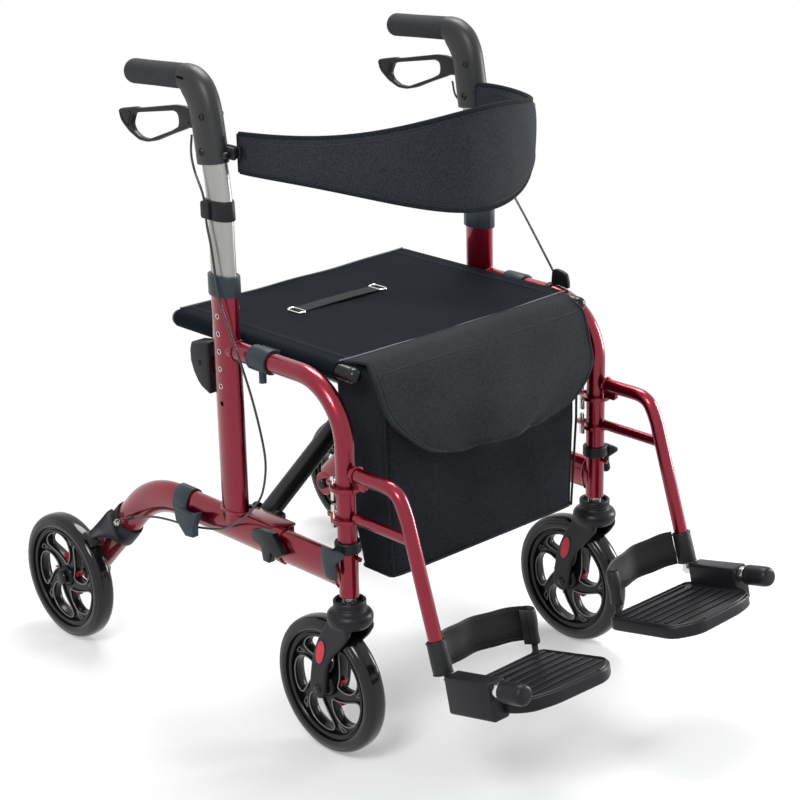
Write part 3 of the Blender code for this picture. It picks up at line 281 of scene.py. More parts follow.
def foam_grip():
    look = Look("foam_grip", (0.022, 0.023, 0.025), 0.78, Specular_IOR_Level=0.25)
    cells = look.node("ShaderNodeTexVoronoi", None, {"Vector": look.place(), "Scale": 900.0})
    cloud = look.noise(look.place(), 120.0, 3.0)
    look.set(Base_Color=look.between(cloud, (0.018, 0.019, 0.021), (0.034, 0.036, 0.039)),
             Roughness=0.68 + cells * 0.18)
    return look.bump(cells, 0.25, 0.0006)


def woven_nylon(name, dark, light, threads=1250.0, depth=0.45, rough=0.72, shine=0.12):
    """Plain weave on the piece's own map, which is in metres: warp and weft pass over each other in turn."""
    look = Look(name, dark, rough, Specular_IOR_Level=shine)
    place = look.place("UV")
    across, along = (look.axis(place, k) * (threads * math.pi) for k in (0, 1))
    turn = ((across * 0.5).sine() * (along * 0.5).sine()).above(0.0)
    weave = across.sine().absolute() * turn + along.sine().absolute() * (1.0 - turn)
    cloud = look.noise(look.place(), 15.0, 4.0)
    slub = look.noise(look.scaled(place, (60.0, 900.0, 1.0)), 1.0)
    grain = look.noise(look.place(), 520.0)
    shade = (weave * 0.35 + cloud * 0.25 + slub * 0.2 + (grain - 0.42) * 2.6).most(0.0).least(1.0)
    look.set(Base_Color=look.between(shade, dark, light), Roughness=(rough - 0.08) + weave * 0.14)
    return look.bump(weave * 0.8 + slub * 0.2, depth, 0.00035)


def webbing():
    """Ribbed webbing: close ribs across the band."""
    look = Look("webbing", (0.006, 0.006, 0.008), 0.6, Specular_IOR_Level=0.15)
    ribs = (look.axis(look.place("UV"), 1) * 2600.0).sine().absolute()
    cloud = look.noise(look.place(), 60.0, 3.0)
    look.set(Base_Color=look.between(cloud * 0.6 + ribs * 0.4, (0.004, 0.0045, 0.005), (0.011, 0.012, 0.014)),
             Roughness=0.5 + ribs * 0.2)
    return look.bump(ribs, 0.4, 0.0004)


def cable_sheath():
    look = Look("cable_sheath", (0.012, 0.012, 0.013), 0.32, Coat_Weight=0.2)
    fine = look.noise(look.place(), 500.0)
    look.set(Roughness=0.26 + fine * 0.14)
    return look.bump(fine, 0.05, 0.0003)


def floor_paint():
    """Pale floor with the walker's shadow, white farther out; metal and glass see all of it as white."""
    look = Look("floor_paint", (0.92, 0.92, 0.92), 0.60, Specular_IOR_Level=0.2)
    place = look.place()
    cloud = look.noise(place, 2.0, 3.0)
    look.set(Base_Color=look.between(cloud, (0.91, 0.91, 0.91), (0.93, 0.93, 0.93)))
    out = (look.axis(place, 0) ** 2.0 + look.axis(place, 1) ** 2.0) ** 0.5
    fade = ((out - 0.40) / 0.52).most(0.0).least(1.0)
    share = look.ray("Camera") * (0.22 + fade * 0.78)
    share = share.most(look.ray("Glossy")).most(look.ray("Transmission"))
    white = look.node("ShaderNodeEmission", None, {"Color": (1.0, 1.0, 1.0), "Strength": 1.0})
    look.close_with(share, Value(look, look.shader.outputs[0]), white, "Material Output")
    return look.material


RED = burgundy_paint()
SATIN = satin_tube()
STEEL = plated_steel()
BLACK = moulded_plastic("moulded_black", (0.0075, 0.0080, 0.0095), 0.38, 0.10)
ELBOW_BLACK = moulded_plastic("elbow_black", (0.0165, 0.0172, 0.0180), 0.42, 0.16, shine=0.35)
BLACK_SATIN = moulded_plastic("painted_black", (0.0045, 0.0050, 0.0060), 0.26, 0.04, shine=0.30)
RIM_BLACK = moulded_plastic("rim_black", (0.0040, 0.0040, 0.0046), 0.24, 0.05)
# pale grey for the thin beads on the black wheels: painted highlight lines along the spokes' edges
LIP_HIGHLIGHT = moulded_plastic("rim_lip", (0.110, 0.112, 0.116), 0.30, 0.05, shine=0.50)
# near-black, barely shiny finish: painted shade for the handle's strain-relief slot
SLOT_SHADE = moulded_plastic("recess_black", (0.0012, 0.0012, 0.0014), 0.80, 0.02, shine=0.05)
CLIP_GREY = moulded_plastic("clip_slate", (0.022, 0.030, 0.036), 0.40, 0.08)
BADGE_RED = moulded_plastic("badge_red", (0.42, 0.028, 0.045), 0.38, 0.05)
HUB_RED = moulded_plastic("hub_red", (0.22, 0.008, 0.016), 0.34, 0.05)
THREAD = moulded_plastic("sewing_thread", (0.030, 0.032, 0.036), 0.55, 0.10)
TYRE = tyre_rubber()
FOAM = foam_grip()
SEAT_CLOTH = woven_nylon("seat_nylon", (0.0018, 0.0032, 0.0056), (0.0068, 0.0098, 0.0140), depth=0.35,
                         rough=0.64, shine=0.03)
BAG_CLOTH = woven_nylon("bag_nylon", (0.0050, 0.0062, 0.0085), (0.0190, 0.0220, 0.0265), shine=0.05)
FLAP_CLOTH = woven_nylon("flap_nylon", (0.0080, 0.0086, 0.0105), (0.0270, 0.0285, 0.0330), threads=900.0,
                         rough=0.8)
BACK_CLOTH = woven_nylon("backrest_cloth", (0.0085, 0.0105, 0.0130), (0.0300, 0.0350, 0.0410), threads=900.0,
                         rough=0.78)
STRAP_CLOTH = woven_nylon("strap_vinyl", (0.0045, 0.0048, 0.0055), (0.0120, 0.0130, 0.0140), depth=0.25,
                          rough=0.42, shine=0.30)
PIPING = woven_nylon("piping", (0.060, 0.066, 0.075), (0.140, 0.150, 0.165), depth=0.3, rough=0.45,
                     shine=0.35)
WEBBING = webbing()
SHEATH = cable_sheath()


# Outlines and routes
def mm(*sizes, per=2):
    """Millimetres in a row as points in metres, two or more sizes to a point."""
    sizes = [size / 1000 for size in sizes]
    return [tuple(sizes[k:k + per]) for k in range(0, len(sizes), per)]


def both_ways(half):
    """A profile that is the same on both sides of its middle, from its upper half."""
    return half + [(radius, -height) for radius, height in reversed(half)]


def turns(count):
    return [2 * math.pi * i / count for i in range(count)]


def ellipse(half_u, half_v, count, power=2.0):
    points = []
    for a in turns(count):
        c, s = math.cos(a), math.sin(a)
        reach = (abs(c) ** power + abs(s) ** power) ** (-1 / power)
        points.append((half_u * c * reach, half_v * s * reach))
    return points


def oval(section, count, wall=0.0):
    """The section of an oval tube of a depth and a width, with a wall round it."""
    return ellipse(section[1] / 2 + wall, section[0] / 2 + wall, count)


def arc(centre, radius, start, end, steps):
    """Points (y, z) on an arc, with angles in degrees from +y towards +z."""
    angles = [math.radians(start + (end - start) * i / steps) for i in range(steps + 1)]
    return [(centre[0] + radius * math.cos(a), centre[1] + radius * math.sin(a)) for a in angles]


def polar(radius, angle):
    return (radius * math.cos(angle), radius * math.sin(angle))


def laid(section, centre, u=X, v=Y):
    """A section's points round a centre, along two directions."""
    return [centre + u * a + v * b for a, b in section]


def on_side(points, out=0.0):
    """Points (y, z) in the right frame's plane, or a little beside it."""
    return [Vector((SIDE + out, y, z)) for y, z in points]


def curve_through(a, b, c, d, t):
    return 0.5 * (2 * b + (c - a) * t + (2 * a - 5 * b + 4 * c - d) * t * t + (3 * b - a - 3 * c + d) * t ** 3)


def smooth_route(points, count):
    """Evenly numbered points on a smooth curve through the given ones."""
    points = [Vector(p) for p in points]
    ends = [points[0] * 2 - points[1], *points, points[-1] * 2 - points[-2]]
    spans = len(points) - 1
    route = []
    for i in range(count + 1):
        k = min(int(spans * i / count), spans - 1)
        route.append(curve_through(*ends[k:k + 4], spans * i / count - k))
    return route


def smooth_row(rows, t):
    """A row of sizes at a place between the given rows."""
    k = min(int(t), len(rows) - 2)
    last = len(rows) - 1
    return curve_through(rows[max(k - 1, 0)], rows[k], rows[k + 1], rows[min(k + 2, last)], t - k)


def smooth_rows(rows, count):
    rows = np.array(rows)
    return [smooth_row(rows, t) for t in np.linspace(0, len(rows) - 1, count)]


def rounded(loop, radius, steps=4):
    """An outline with its corners cut to arcs."""
    made = []
    for i, corner in enumerate(loop):
        a, b, c = Vector(loop[i - 1]), Vector(corner), Vector(loop[(i + 1) % len(loop)])
        reach = min(radius, (a - b).length * 0.45, (c - b).length * 0.45)
        first, second = b + (a - b).normalized() * reach, b + (c - b).normalized() * reach
        for k in range(steps + 1):
            t = k / steps
            point = first * (1 - t) ** 2 + b * (2 * t * (1 - t)) + second * t ** 2
            made.append((point.x, point.y))
    return made


def inset(loop, distance):
    """An outline moved inwards by a distance."""
    made = []
    count = len(loop)
    area = sum(loop[i - 1][0] * loop[i][1] - loop[i][0] * loop[i - 1][1] for i in range(count))
    reach = -distance if area > 0 else distance
    for i in range(count):
        d = (Vector(loop[(i + 1) % count]) - Vector(loop[i - 1])).normalized()
        made.append((loop[i][0] + d.y * reach, loop[i][1] - d.x * reach))
    return made


def plate_at(x):
    """(u, v, w) on a plate becomes (y, z) in the plane of a given x."""
    return Matrix(((0, 0, 1, x), (1, 0, 0, 0), (0, 1, 0, 0), (0, 0, 0, 1)))


# Shapes
class Shape:
    """Gathers closed surfaces with their maps and finishes, then becomes one piece."""

    def __init__(self):
        self.mesh = bmesh.new()
        self.map = self.mesh.loops.layers.uv.new("map")
        self.finishes = []

    def _slot(self, finish):
        if finish not in self.finishes:
            self.finishes.append(finish)
        return self.finishes.index(finish)

    def skin(self, rings, finish, loop=False):
        """Faces between a row of rings. The map is in metres: round the ring, then along the row."""
        slot = self._slot(finish)
        count = len(rings[0])
        rows = [[self.mesh.verts.new(p) for p in ring] for ring in rings]
        around, along = [0.0], [0.0]
        middle = rings[len(rings) // 2]
        for i in range(count):
            around.append(around[-1] + (Vector(middle[(i + 1) % count]) - Vector(middle[i])).length)
        for k, ring in enumerate(rings):
            along.append(along[-1] + (Vector(rings[(k + 1) % len(rings)][0]) - Vector(ring[0])).length)
        for k in range(len(rows) if loop else len(rows) - 1):
            first, second = rows[k], rows[(k + 1) % len(rows)]
            for i in range(count):
                j = (i + 1) % count
                face = self.mesh.faces.new((first[i], first[j], second[j], second[i]))
                face.material_index = slot
                face.smooth = True
                corners = ((i, k), (i + 1, k), (i + 1, k + 1), (i, k + 1))
                for corner, (a, b) in zip(face.loops, corners):
                    corner[self.map].uv = (around[a], along[b])
        if not loop:
            for row in (rows[0][::-1], rows[-1]):
                face = self.mesh.faces.new(row)
                face.material_index = slot
                for corner in face.loops:
                    corner[self.map].uv = (corner.vert.co.x, corner.vert.co.z + corner.vert.co.y)
        return self

    def sweep(self, route, section, finish, side=X, loop=False):
        """A section carried along a route; its first direction stays as near to side as it can."""
        route = [Vector(p) for p in route]
        rings = []
        last = len(route) - 1
        for k, point in enumerate(route):
            if loop:
                ahead = route[(k + 1) % len(route)] - route[k - 1]
            else:
                ahead = route[min(k + 1, last)] - route[max(k - 1, 0)]
            ahead.normalize()
            u = (side - ahead * side.dot(ahead)).normalized()
            rings.append(laid(section, point, u, ahead.cross(u)))
        return self.skin(rings, finish, loop)

    def tube(self, route, radius, finish, count=24):
        return self.sweep(route, ellipse(radius, radius, count), finish)

    def rim(self, route, half_u, half_v, finish, side=X, count=8):
        """A thin bead along a closed route."""
        return self.sweep(route, ellipse(half_u, half_v, count), finish, side, loop=True)

    def lathe(self, profile, centre, direction, finish, steps=48, closed=False):
        """A turned form: (radius, height) points along a direction."""
        direction = Vector(direction).normalized()
        u = direction.cross(Z if abs(direction.z) < 0.9 else Y).normalized()
        v = direction.cross(u)
        rings = [laid([polar(max(radius, 0.00002), a) for a in turns(steps)],
                      Vector(centre) + direction * height, u, v) for radius, height in profile]
        return self.skin(rings, finish, loop=closed)

    def hoop(self, centre, direction, inner, outer, half, cut, finish, steps):
        """A flat ring whose outer edges are cut back by a little, across and along."""
        profile = [(inner, half), (outer - cut[0], half), (outer, half - cut[1])]
        return self.lathe(both_ways(profile), centre, direction, finish, steps, closed=True)

    def plate(self, outline, thickness, place, finish, holes=(), edge=0.0, steps=2):
        """A flat plate from (u, v) outlines; place maps (u, v, w) to the walker. Its edges are rounded."""
        curve = bpy.data.curves.new("plate", "CURVE")
        curve.dimensions = "2D"
        curve.fill_mode = "BOTH"
        curve.extrude = thickness / 2 - edge
        curve.bevel_depth = edge
        curve.bevel_resolution = steps
        curve.offset = -edge
        for loop in (outline, *holes):
            spline = curve.splines.new("POLY")
            spline.points.add(len(loop) - 1)
            spline.use_cyclic_u = True
            for point, (u, v) in zip(spline.points, loop):
                point.co = (u, v, 0.0, 1.0)
        holder = put(bpy.data.objects.new("plate", curve))
        flat = bpy.data.meshes.new_from_object(holder.evaluated_get(bpy.context.evaluated_depsgraph_get()))
        bpy.data.objects.remove(holder)
        bpy.data.curves.remove(curve)
        flat.transform(place)
        part = bmesh.new()
        part.from_mesh(flat)
        bmesh.ops.remove_doubles(part, verts=part.verts, dist=1e-5)
        bmesh.ops.recalc_face_normals(part, faces=part.faces)
        slot = self._slot(finish)
        places = {v: self.mesh.verts.new(v.co) for v in part.verts}
        for face in part.faces:
            try:
                made = self.mesh.faces.new([places[v] for v in face.verts])
            except ValueError:
                continue
            made.material_index = slot
            made.smooth = True
            for corner in made.loops:
                corner[self.map].uv = (corner.vert.co.x + corner.vert.co.y, corner.vert.co.z)
        part.free()
        bpy.data.meshes.remove(flat)
        return self

    def piece(self, name, body=None, node=None, sharp=38.0, mirror=None):
        """One piece in the walker's place, on a body and for a node. A left-hand name mirrors it."""
        bmesh.ops.remove_doubles(self.mesh, verts=self.mesh.verts, dist=1e-6)
        bmesh.ops.recalc_face_normals(self.mesh, faces=self.mesh.faces)
        mesh = bpy.data.meshes.new(name)
        self.mesh.to_mesh(mesh)
        self.mesh.free()
        if name.startswith("left_") if mirror is None else mirror:
            to_left(mesh)
        mesh.transform(Matrix.Translation(SHIFT))
        mesh.set_sharp_from_angle(angle=math.radians(sharp))
        for finish in self.finishes:
            mesh.materials.append(finish)
        piece = put(bpy.data.objects.new(name, mesh))
        if node:
            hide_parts(node)
        if body:
            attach(piece, body)
        return piece


def to_left(mesh):
    mesh.transform(MIRROR)
    mesh.flip_normals()


def settle(piece):
    """Applies the modifiers that are on a piece, so that it is a plain mesh."""
    graph = bpy.context.evaluated_depsgraph_get()
    mesh = bpy.data.meshes.new_from_object(piece.evaluated_get(graph))
    piece.modifiers.clear()
    piece.data = mesh


def soften(piece, width, angle=None):
    """Rounds a piece's edges, or those sharper than an angle."""
    bevel = piece.modifiers.new("edges", "BEVEL")
    bevel.width = width
    bevel.segments = 2
    if angle:
        bevel.limit_method = "ANGLE"
        bevel.angle_limit = math.radians(angle)
    settle(piece)


def refined(node, finish, edge):
    """A CAD node's shape with its edges rounded, standing for the node on the same body."""
    mesh = frame["nodes"][node].data.copy()
    part = bmesh.new()
    part.from_mesh(mesh)
    bmesh.ops.remove_doubles(part, verts=part.verts, dist=1e-6)
    bmesh.ops.dissolve_limit(part, angle_limit=math.radians(1.0), verts=part.verts, edges=part.edges)
    part.to_mesh(mesh)
    part.free()
    mesh.materials.clear()
    mesh.materials.append(finish)
    piece = put(bpy.data.objects.new(node + "_moulding", mesh))
    soften(piece, edge, 30.0)
    piece.data.shade_smooth()
    piece.data.set_sharp_from_angle(angle=math.radians(40))
    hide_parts(node)
    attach(piece, BODY_OF[node])
    return piece


# Repeats: Geometry Nodes trees for the sewing and the treads
class Tree(Nodes):
    """A Geometry Nodes group with named sizes, run once on a base mesh and then made plain."""

    def __init__(self, name, sizes):
        super().__init__(bpy.data.node_groups.new(name, "GeometryNodeTree"))
        face = self.tree.interface
        face.new_socket("Geometry", in_out="INPUT", socket_type="NodeSocketGeometry")
        for label, value in sizes.items():
            face.new_socket(label, in_out="INPUT", socket_type="NodeSocketFloat").default_value = value
        face.new_socket("Geometry", in_out="OUTPUT", socket_type="NodeSocketGeometry")
        self.source = self.tree.nodes.new("NodeGroupInput")

    def size(self, label):
        return Value(self, self.source.outputs[label])

    def close(self, points, item, turn, finish):
        """Puts an item on each point, makes the copies real and gives them their finish."""
        placed = self.node("GeometryNodeInstanceOnPoints", None,
                           {"Points": points, "Instance": item, "Rotation": turn})
        real = self.node("GeometryNodeRealizeInstances", None, {"Geometry": placed})
        dressed = self.node("GeometryNodeSetMaterial", None, {"Geometry": real, "Material": finish})
        self.feed(self.tree.nodes.new("NodeGroupOutput").inputs[0], dressed)
        return self

    def run(self, name, routes, **sizes):
        """The tree's result on lines along some routes, as a plain piece in the walker's place."""
        verts, edges = [], []
        for route in routes:
            start = len(verts)
            verts += [tuple(p) for p in route]
            edges += [(start + i, start + i + 1) for i in range(len(route) - 1)]
        lines = bpy.data.meshes.new("lines")
        lines.from_pydata(verts, edges, [])
        piece = put(bpy.data.objects.new(name, lines))
        step = piece.modifiers.new("repeat", "NODES")
        step.node_group = self.tree
        for item in self.tree.interface.items_tree:
            if item.in_out == "INPUT" and item.name in sizes:
                step[item.identifier] = sizes[item.name]
        settle(piece)
        if name.startswith("left_"):
            to_left(piece.data)
        piece.data.transform(Matrix.Translation(SHIFT))
        piece.data.shade_smooth()
        piece.data.set_sharp_from_angle(angle=math.radians(40))
        return piece


def stitch_tree():
    """Short rounded thread lengths along a line, each with a gap after it."""
    tree = Tree("stitches", {"Stitch": 0.0026, "Gap": 0.0014, "Thread": 0.00045})
    curve = tree.node("GeometryNodeMeshToCurve", None, {"Mesh": tree.size("Geometry")})
    points = tree.node("GeometryNodeCurveToPoints", {"mode": "LENGTH"},
                       {"Curve": curve, "Length": tree.size("Stitch") + tree.size("Gap")}, output="Points")
    sizes = {"Vertices": 6, "Radius": tree.size("Thread"), "Depth": tree.size("Stitch")}
    thread = tree.node("GeometryNodeMeshCylinder", {"fill_type": "NGON"}, sizes, output="Mesh")
    return tree.close(points, thread, points.other("Rotation"), THREAD)


def rib_tree():
    """Raised bars across a plate, one at each point of its middle line."""
    tree = Tree("tread_ribs", {"Width": 0.0044, "Height": 0.0023, "Reach": 0.144, "Slope": 0.0})
    block = tree.node("ShaderNodeCombineXYZ", None,
                      {"X": tree.size("Reach"), "Y": tree.size("Width"), "Z": tree.size("Height")})
    bar = tree.node("GeometryNodeMeshCube", None, {"Size": block}, output="Mesh")
    slope = tree.node("ShaderNodeCombineXYZ", None, {"X": tree.size("Slope")})
    turn = tree.node("FunctionNodeEulerToRotation", None, {"Euler": slope})
    points = tree.node("GeometryNodeMeshToPoints", None, {"Mesh": tree.size("Geometry")})
    return tree.close(points, bar, turn, BLACK)


STITCHES = stitch_tree()
TREAD = rib_tree()


# Side frame
def weld_bead(shape, centre, normal, half_u, half_v, bead, count=56):
    """A thin uneven fillet round a joint between two tubes."""
    normal = Vector(normal).normalized()
    route = laid(ellipse(half_u, half_v, count), Vector((SIDE, *centre)), X, normal.cross(X).normalized())
    rings = []
    for k, point in enumerate(route):
        ahead = (route[(k + 1) % count] - route[k - 1]).normalized()
        size = bead * (1.0 + 0.16 * math.sin(k * 2.4))
        rings.append(laid(ellipse(size, size, 8), point, ahead.cross(normal).normalized(), normal))
    shape.skin(rings, RED, loop=True)


def side_frame(n):
    """Leg with the top tube, lower rail, rear boss and lock lug, welded together."""
    shape = Shape()
    bend = arc((LEG_Y + TOP_BEND_RADIUS, TOP_TUBE_Z - TOP_BEND_RADIUS), TOP_BEND_RADIUS, 180, 90, 24)
    shape.tube(on_side([(LEG_Y, 0.2505), (LEG_Y, 0.2515), *bend, (POST_Y, TOP_TUBE_Z)]), LEG_RADIUS, RED, 32)
    bend = arc((RAIL_BEND_Y, RAIL_Z - RAIL_BEND_RADIUS), RAIL_BEND_RADIUS, 90, 45, 24)
    rail = [(LEG_Y + 0.002, RAIL_Z), (-0.1, RAIL_Z), *bend, (REAR_AXLE[0], REAR_AXLE[1] + 0.0075)]
    shape.sweep(on_side(rail), oval(RAIL_SECTION, 36), RED)
    shape.hoop((SIDE, *REAR_AXLE), X, 0.0055, 0.0205, 0.0165, (0.0013, 0.0013), RED, 40)
    weld_bead(shape, (POST_Y, RAIL_Z + 0.0245), Z, 0.0156, 0.0256, 0.0022)
    weld_bead(shape, (POST_Y - 0.0235, TOP_TUBE_Z), Y, 0.0142, 0.0142, 0.0020)
    weld_bead(shape, (LEG_Y + 0.0120, RAIL_Z), Y, 0.0150, 0.0250, 0.0020)
    lug = mm(-34, 512.5, -4, 512.5, -1, 515.5, -1, 523.5, -4, 526.5, -34, 526.5)
    shape.plate(lug, 0.0080, plate_at(SIDE), RED, edge=0.0008)
    tube = shape.piece(n + "_frame_tubes", n + "_frame_body", n + "_frame")


def post(n):
    """The oval post with a real bore and its row of pin holes on the outer face."""
    outer, inner = oval(POST_SECTION, 48), oval(POST_BORE, 48)
    rings = [laid(section, Vector((SIDE, POST_Y, z)))
             for section, z in ((outer, POST_FOOT_Z), (outer, 0.45), (outer, POST_TOP_Z - 0.0006),
                                (inner, POST_TOP_Z), (inner, 0.421), (inner, 0.420))]
    piece = Shape().skin(rings, RED).piece(n + "_post", mirror=False)
    drills = Shape()
    bit = mm(3.6, -4, 3.6, 12)
    for i in range(HOLE_COUNT):
        drills.lathe(bit, (SIDE - 0.0165, POST_Y, HOLE_TOP_Z - HOLE_PITCH * i), X, RED, 24)
    drill = drills.piece("drill")
    bore = piece.modifiers.new("holes", "BOOLEAN")
    bore.object = drill
    bore.operation = "DIFFERENCE"
    bore.solver = "EXACT"
    settle(piece)
    bpy.data.objects.remove(drill)
    if n == "left":
        to_left(piece.data)
    piece.data.set_sharp_from_angle(angle=math.radians(38))
    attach(piece, n + "_frame_body")


def post_fittings(n):
    """The lock's rivet, a stub on the leg and thin steel rims in the post's upper holes, put there as painted
    glints.
    """
    shape = Shape()
    shape.lathe(mm(0, 2.2, 3, 2, 4.2, 0.4, 4.2, -2, 0, -2), (SIDE - 0.0130, *LOCK_PIVOT), -X, BLACK, 24)
    shape.tube(on_side([(LEG_Y - 0.010, 0.3120), (LEG_Y - 0.0250, 0.3105)]), 0.0032, RED, 16)
    # steel rims in the upper holes: painted glints, standing in for the bright tube seen through them
    for i in range(HOLE_COUNT - 1):
        hole = Vector((SIDE - 0.0152, POST_Y, HOLE_TOP_Z - HOLE_PITCH * i))
        shape.rim(laid(ellipse(0.0034, 0.0034, 24), hole, Z, Y), 0.0006, 0.0006, STEEL)
    shape.piece(n + "_frame_fittings", n + "_frame_body")


# Wheels
def spoke_angle(index, radius):
    share = max(0.0, radius - 0.014) / (0.0735 - 0.014)
    return 2 * math.pi * index / SPOKES - math.radians(46) * share ** 0.8


def spoke_window(index):
    """The opening between one spoke and the next: pointed by the hub, wide and round by the ring."""
    loop = []
    for u, v in ellipse(1.0, 1.0, 48, 2.7):
        r = 0.0465 + 0.0247 * v
        half = 0.0068 + 0.0022 * max(0.0, -v)
        reach = math.pi / SPOKES - half / r
        loop.append(polar(r, spoke_angle(index, r) + math.pi / SPOKES + u * reach))
    return loop


def spoke_pocket(index):
    """A small three-cornered pocket where a spoke meets the ring."""
    corners = ((0.0585, 0.0), (0.0718, 0.075), (0.0718, -0.075))
    return rounded([polar(r, spoke_angle(index, r) + side) for r, side in corners], 0.0030)


def wheel(name, x, axle, hub_half):
    """Spoked rim with stepped lips, windows and red vanes, and its tyre."""
    centre = (x, *axle)
    middle = Matrix.Translation((0, *axle)) @ plate_at(x)

    def at(points, w):
        return [middle @ Vector((u, v, w)) for u, v in points]

    shape = Shape()
    ring = mm(74, 8.5, 72.8, 11.2, 73.8, 12.5, 77.2, 12.5, 77.8, 10.8, 80, 10.8, 80.6, 12.5)
    ring.append((RIM_RADIUS, 0.0122))
    shape.lathe(both_ways(ring) + [(0.0746, 0.0)], centre, X, RIM_BLACK, 96, closed=True)
    # a web with five teardrop windows, each inside its own raised lip, and a small pocket at each spoke's end
    windows = [spoke_window(k) for k in range(SPOKES)]
    shape.plate([polar(0.0752, a) for a in turns(96)], 0.0096, middle, RIM_BLACK, windows)
    # each window's lip and each spoke's pocket gets pale grey beads on both faces: painted highlight lines along
    # the black edges
    for window in windows:
        shape.sweep(at(window, 0.0), ellipse(0.0074, 0.0010, 10, 3.0), RIM_BLACK, loop=True)
        for face in (-1, 1):
            shape.rim(at(window, face * 0.0072), 0.0007, 0.0011, LIP_HIGHLIGHT)
    for k in range(SPOKES):
        for face in (-1, 1):
            shape.rim(at(spoke_pocket(k), face * 0.0056), 0.0012, 0.0008, LIP_HIGHLIGHT)
    hub = mm(0, 0, 8.8, 0, 9.6, 0.8, 9.6, 2.5, 12.5, 3, 13.5, 4.2, 16, 6, 16.5, 7.5)
    shape.lathe(both_ways([(r, hub_half - down) for r, down in hub]), centre, X, RIM_BLACK, 48)
    # red inlay: pointed vanes between the spokes' roots
    for k in range(SPOKES):
        vane = []
        for r, half in mm(15.5, 5, 21, 4.4, 27, 3, 33, 1.3, 36.5, 0.3):
            a, b = (polar(r, spoke_angle(k, r) + 0.50 + side * half / r) for side in (-1, 1))
            vane.append(at((a, b), -0.0040) + at((b, a), 0.0040))
        shape.skin(vane, HUB_RED)
    shape.piece(name + "_spoked_rim", name + "_wheel", name + "_rim")
    tread = [(RIM_RADIUS + 0.0003, 0.0142)]
    tread += mm(83.8, 15.6, 86.2, 16, 90.5, 16, 92.5, 15.4, 93.1, 14.6, 93.9, 14.8, 95.5, 14.6, 98.5, 12.2,
                100.4, 9, 101.2, 6, 101.5, 2)
    shape = Shape().lathe(both_ways(tread), centre, X, TYRE, 128, closed=True)
    shape.piece(name + "_tyre_tread", name + "_wheel", name + "_tyre", sharp=50)


def wheels(n):
    wheel(n + "_rear", REAR_WHEEL_X, REAR_AXLE, 0.0135)
    wheel(n + "_front", SIDE, FRONT_AXLE, 0.0172)


def caster_fork(n):
    """Fork moulding: bulbous shoulders under a cup that flow into two swept arms."""
    stem = (SIDE, LEG_Y, 0.0)
    shape = Shape()
    crown = mm(0, 240, 21.5, 240, 22.5, 233.5, 25.5, 230.5, 29.5, 228, 32.2, 224, 32.7, 220, 31.8, 214,
               28.5, 208.5, 23, 206, 0, 205.6)
    shape.lathe(crown, stem, Z, BLACK, 56)
    arm = mm(-316, 229, -289, 229, -279, 213, -264.1, 190.5, -255, 172.5, -248.5, 156.3, -243.5, 140,
             -240.9, 124.6, -238.8, 112, -238, 100, -243, 89, -254.8, 84.8, -265, 89, -269.6, 103, -271.6, 120,
             -274.4, 136.7, -280, 150, -287, 161, -299, 174, -312.5, 187.4, -323, 203)
    for side in (-1, 1):
        shape.plate(rounded(arm, 0.0060), 0.0082, plate_at(SIDE + side * 0.0217), BLACK, edge=0.0030, steps=3)
    fork = shape.piece(n + "_fork_moulding")
    melt = fork.modifiers.new("melt", "REMESH")
    melt.mode = "VOXEL"
    melt.voxel_size = 0.0013
    soft = fork.modifiers.new("soft", "SMOOTH")
    soft.factor = 0.5
    soft.iterations = 7
    settle(fork)
    fork.data.shade_smooth()
    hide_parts(n + "_caster_fork")
    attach(fork, n + "_caster")
    fork_trim(n, stem)


def fork_trim(n, stem):
    """The fork's cup, axle nuts and washers, plain red badges, steel stem and bearing coils."""
    shape = Shape()
    cup = mm(0, 240, 18.7, 240, 18.7, 244, 19.6, 245, 22.2, 245, 23, 244, 23, 238.4, 22.3, 237.6,
             22.3, 236.6, 23, 235.8, 23, 231.8, 0, 231.8)
    shape.lathe(cup, stem, Z, BLACK, 56)
    for side in (-1, 1):
        end = (SIDE + side * FORK_CHEEK, *FRONT_AXLE)
        shape.lathe(mm(0, 3.4, 4, 3.4, 5.2, 2.6, 5.2, -1, 0, -1), end, X * side, BLACK_SATIN, 6)
        shape.lathe(mm(0, 0.8, 7.8, 0.8, 8.4, 0.2, 8.4, -1, 0, -1), end, X * side, BLACK, 32)
        lean = Matrix.Rotation(math.radians(17), 4, "X")
        place = Matrix.Translation((SIDE + side * FORK_CHEEK, -0.2645, 0.1612)) @ lean @ plate_at(0.0)
        shape.plate(ellipse(0.0080, 0.0196, 44), 0.0024, place, BADGE_RED, edge=0.0005)
        border = [place @ Vector((y, z, 0.0)) for y, z in ellipse(0.0090, 0.0207, 44)]
        shape.rim(border, 0.0011, 0.0011, BLACK)
    shape.lathe(mm(0, 250, 8.6, 250, 9, 249.4, 9, 240.2, 0, 240.2), stem, Z, STEEL, 32)
    shape.lathe(mm(0, 280, 6, 280, 6, 249.5, 0, 249.5), stem, Z, STEEL, 24)
    for z in (0.2412, 0.2432, 0.2452, 0.2472):
        coil = laid(ellipse(0.0092, 0.0092, 32), Vector((SIDE, LEG_Y, z)))
        shape.rim(coil, 0.0006, 0.0006, STEEL, Z, 6)
    shape.piece(n + "_fork_trim", n + "_caster")


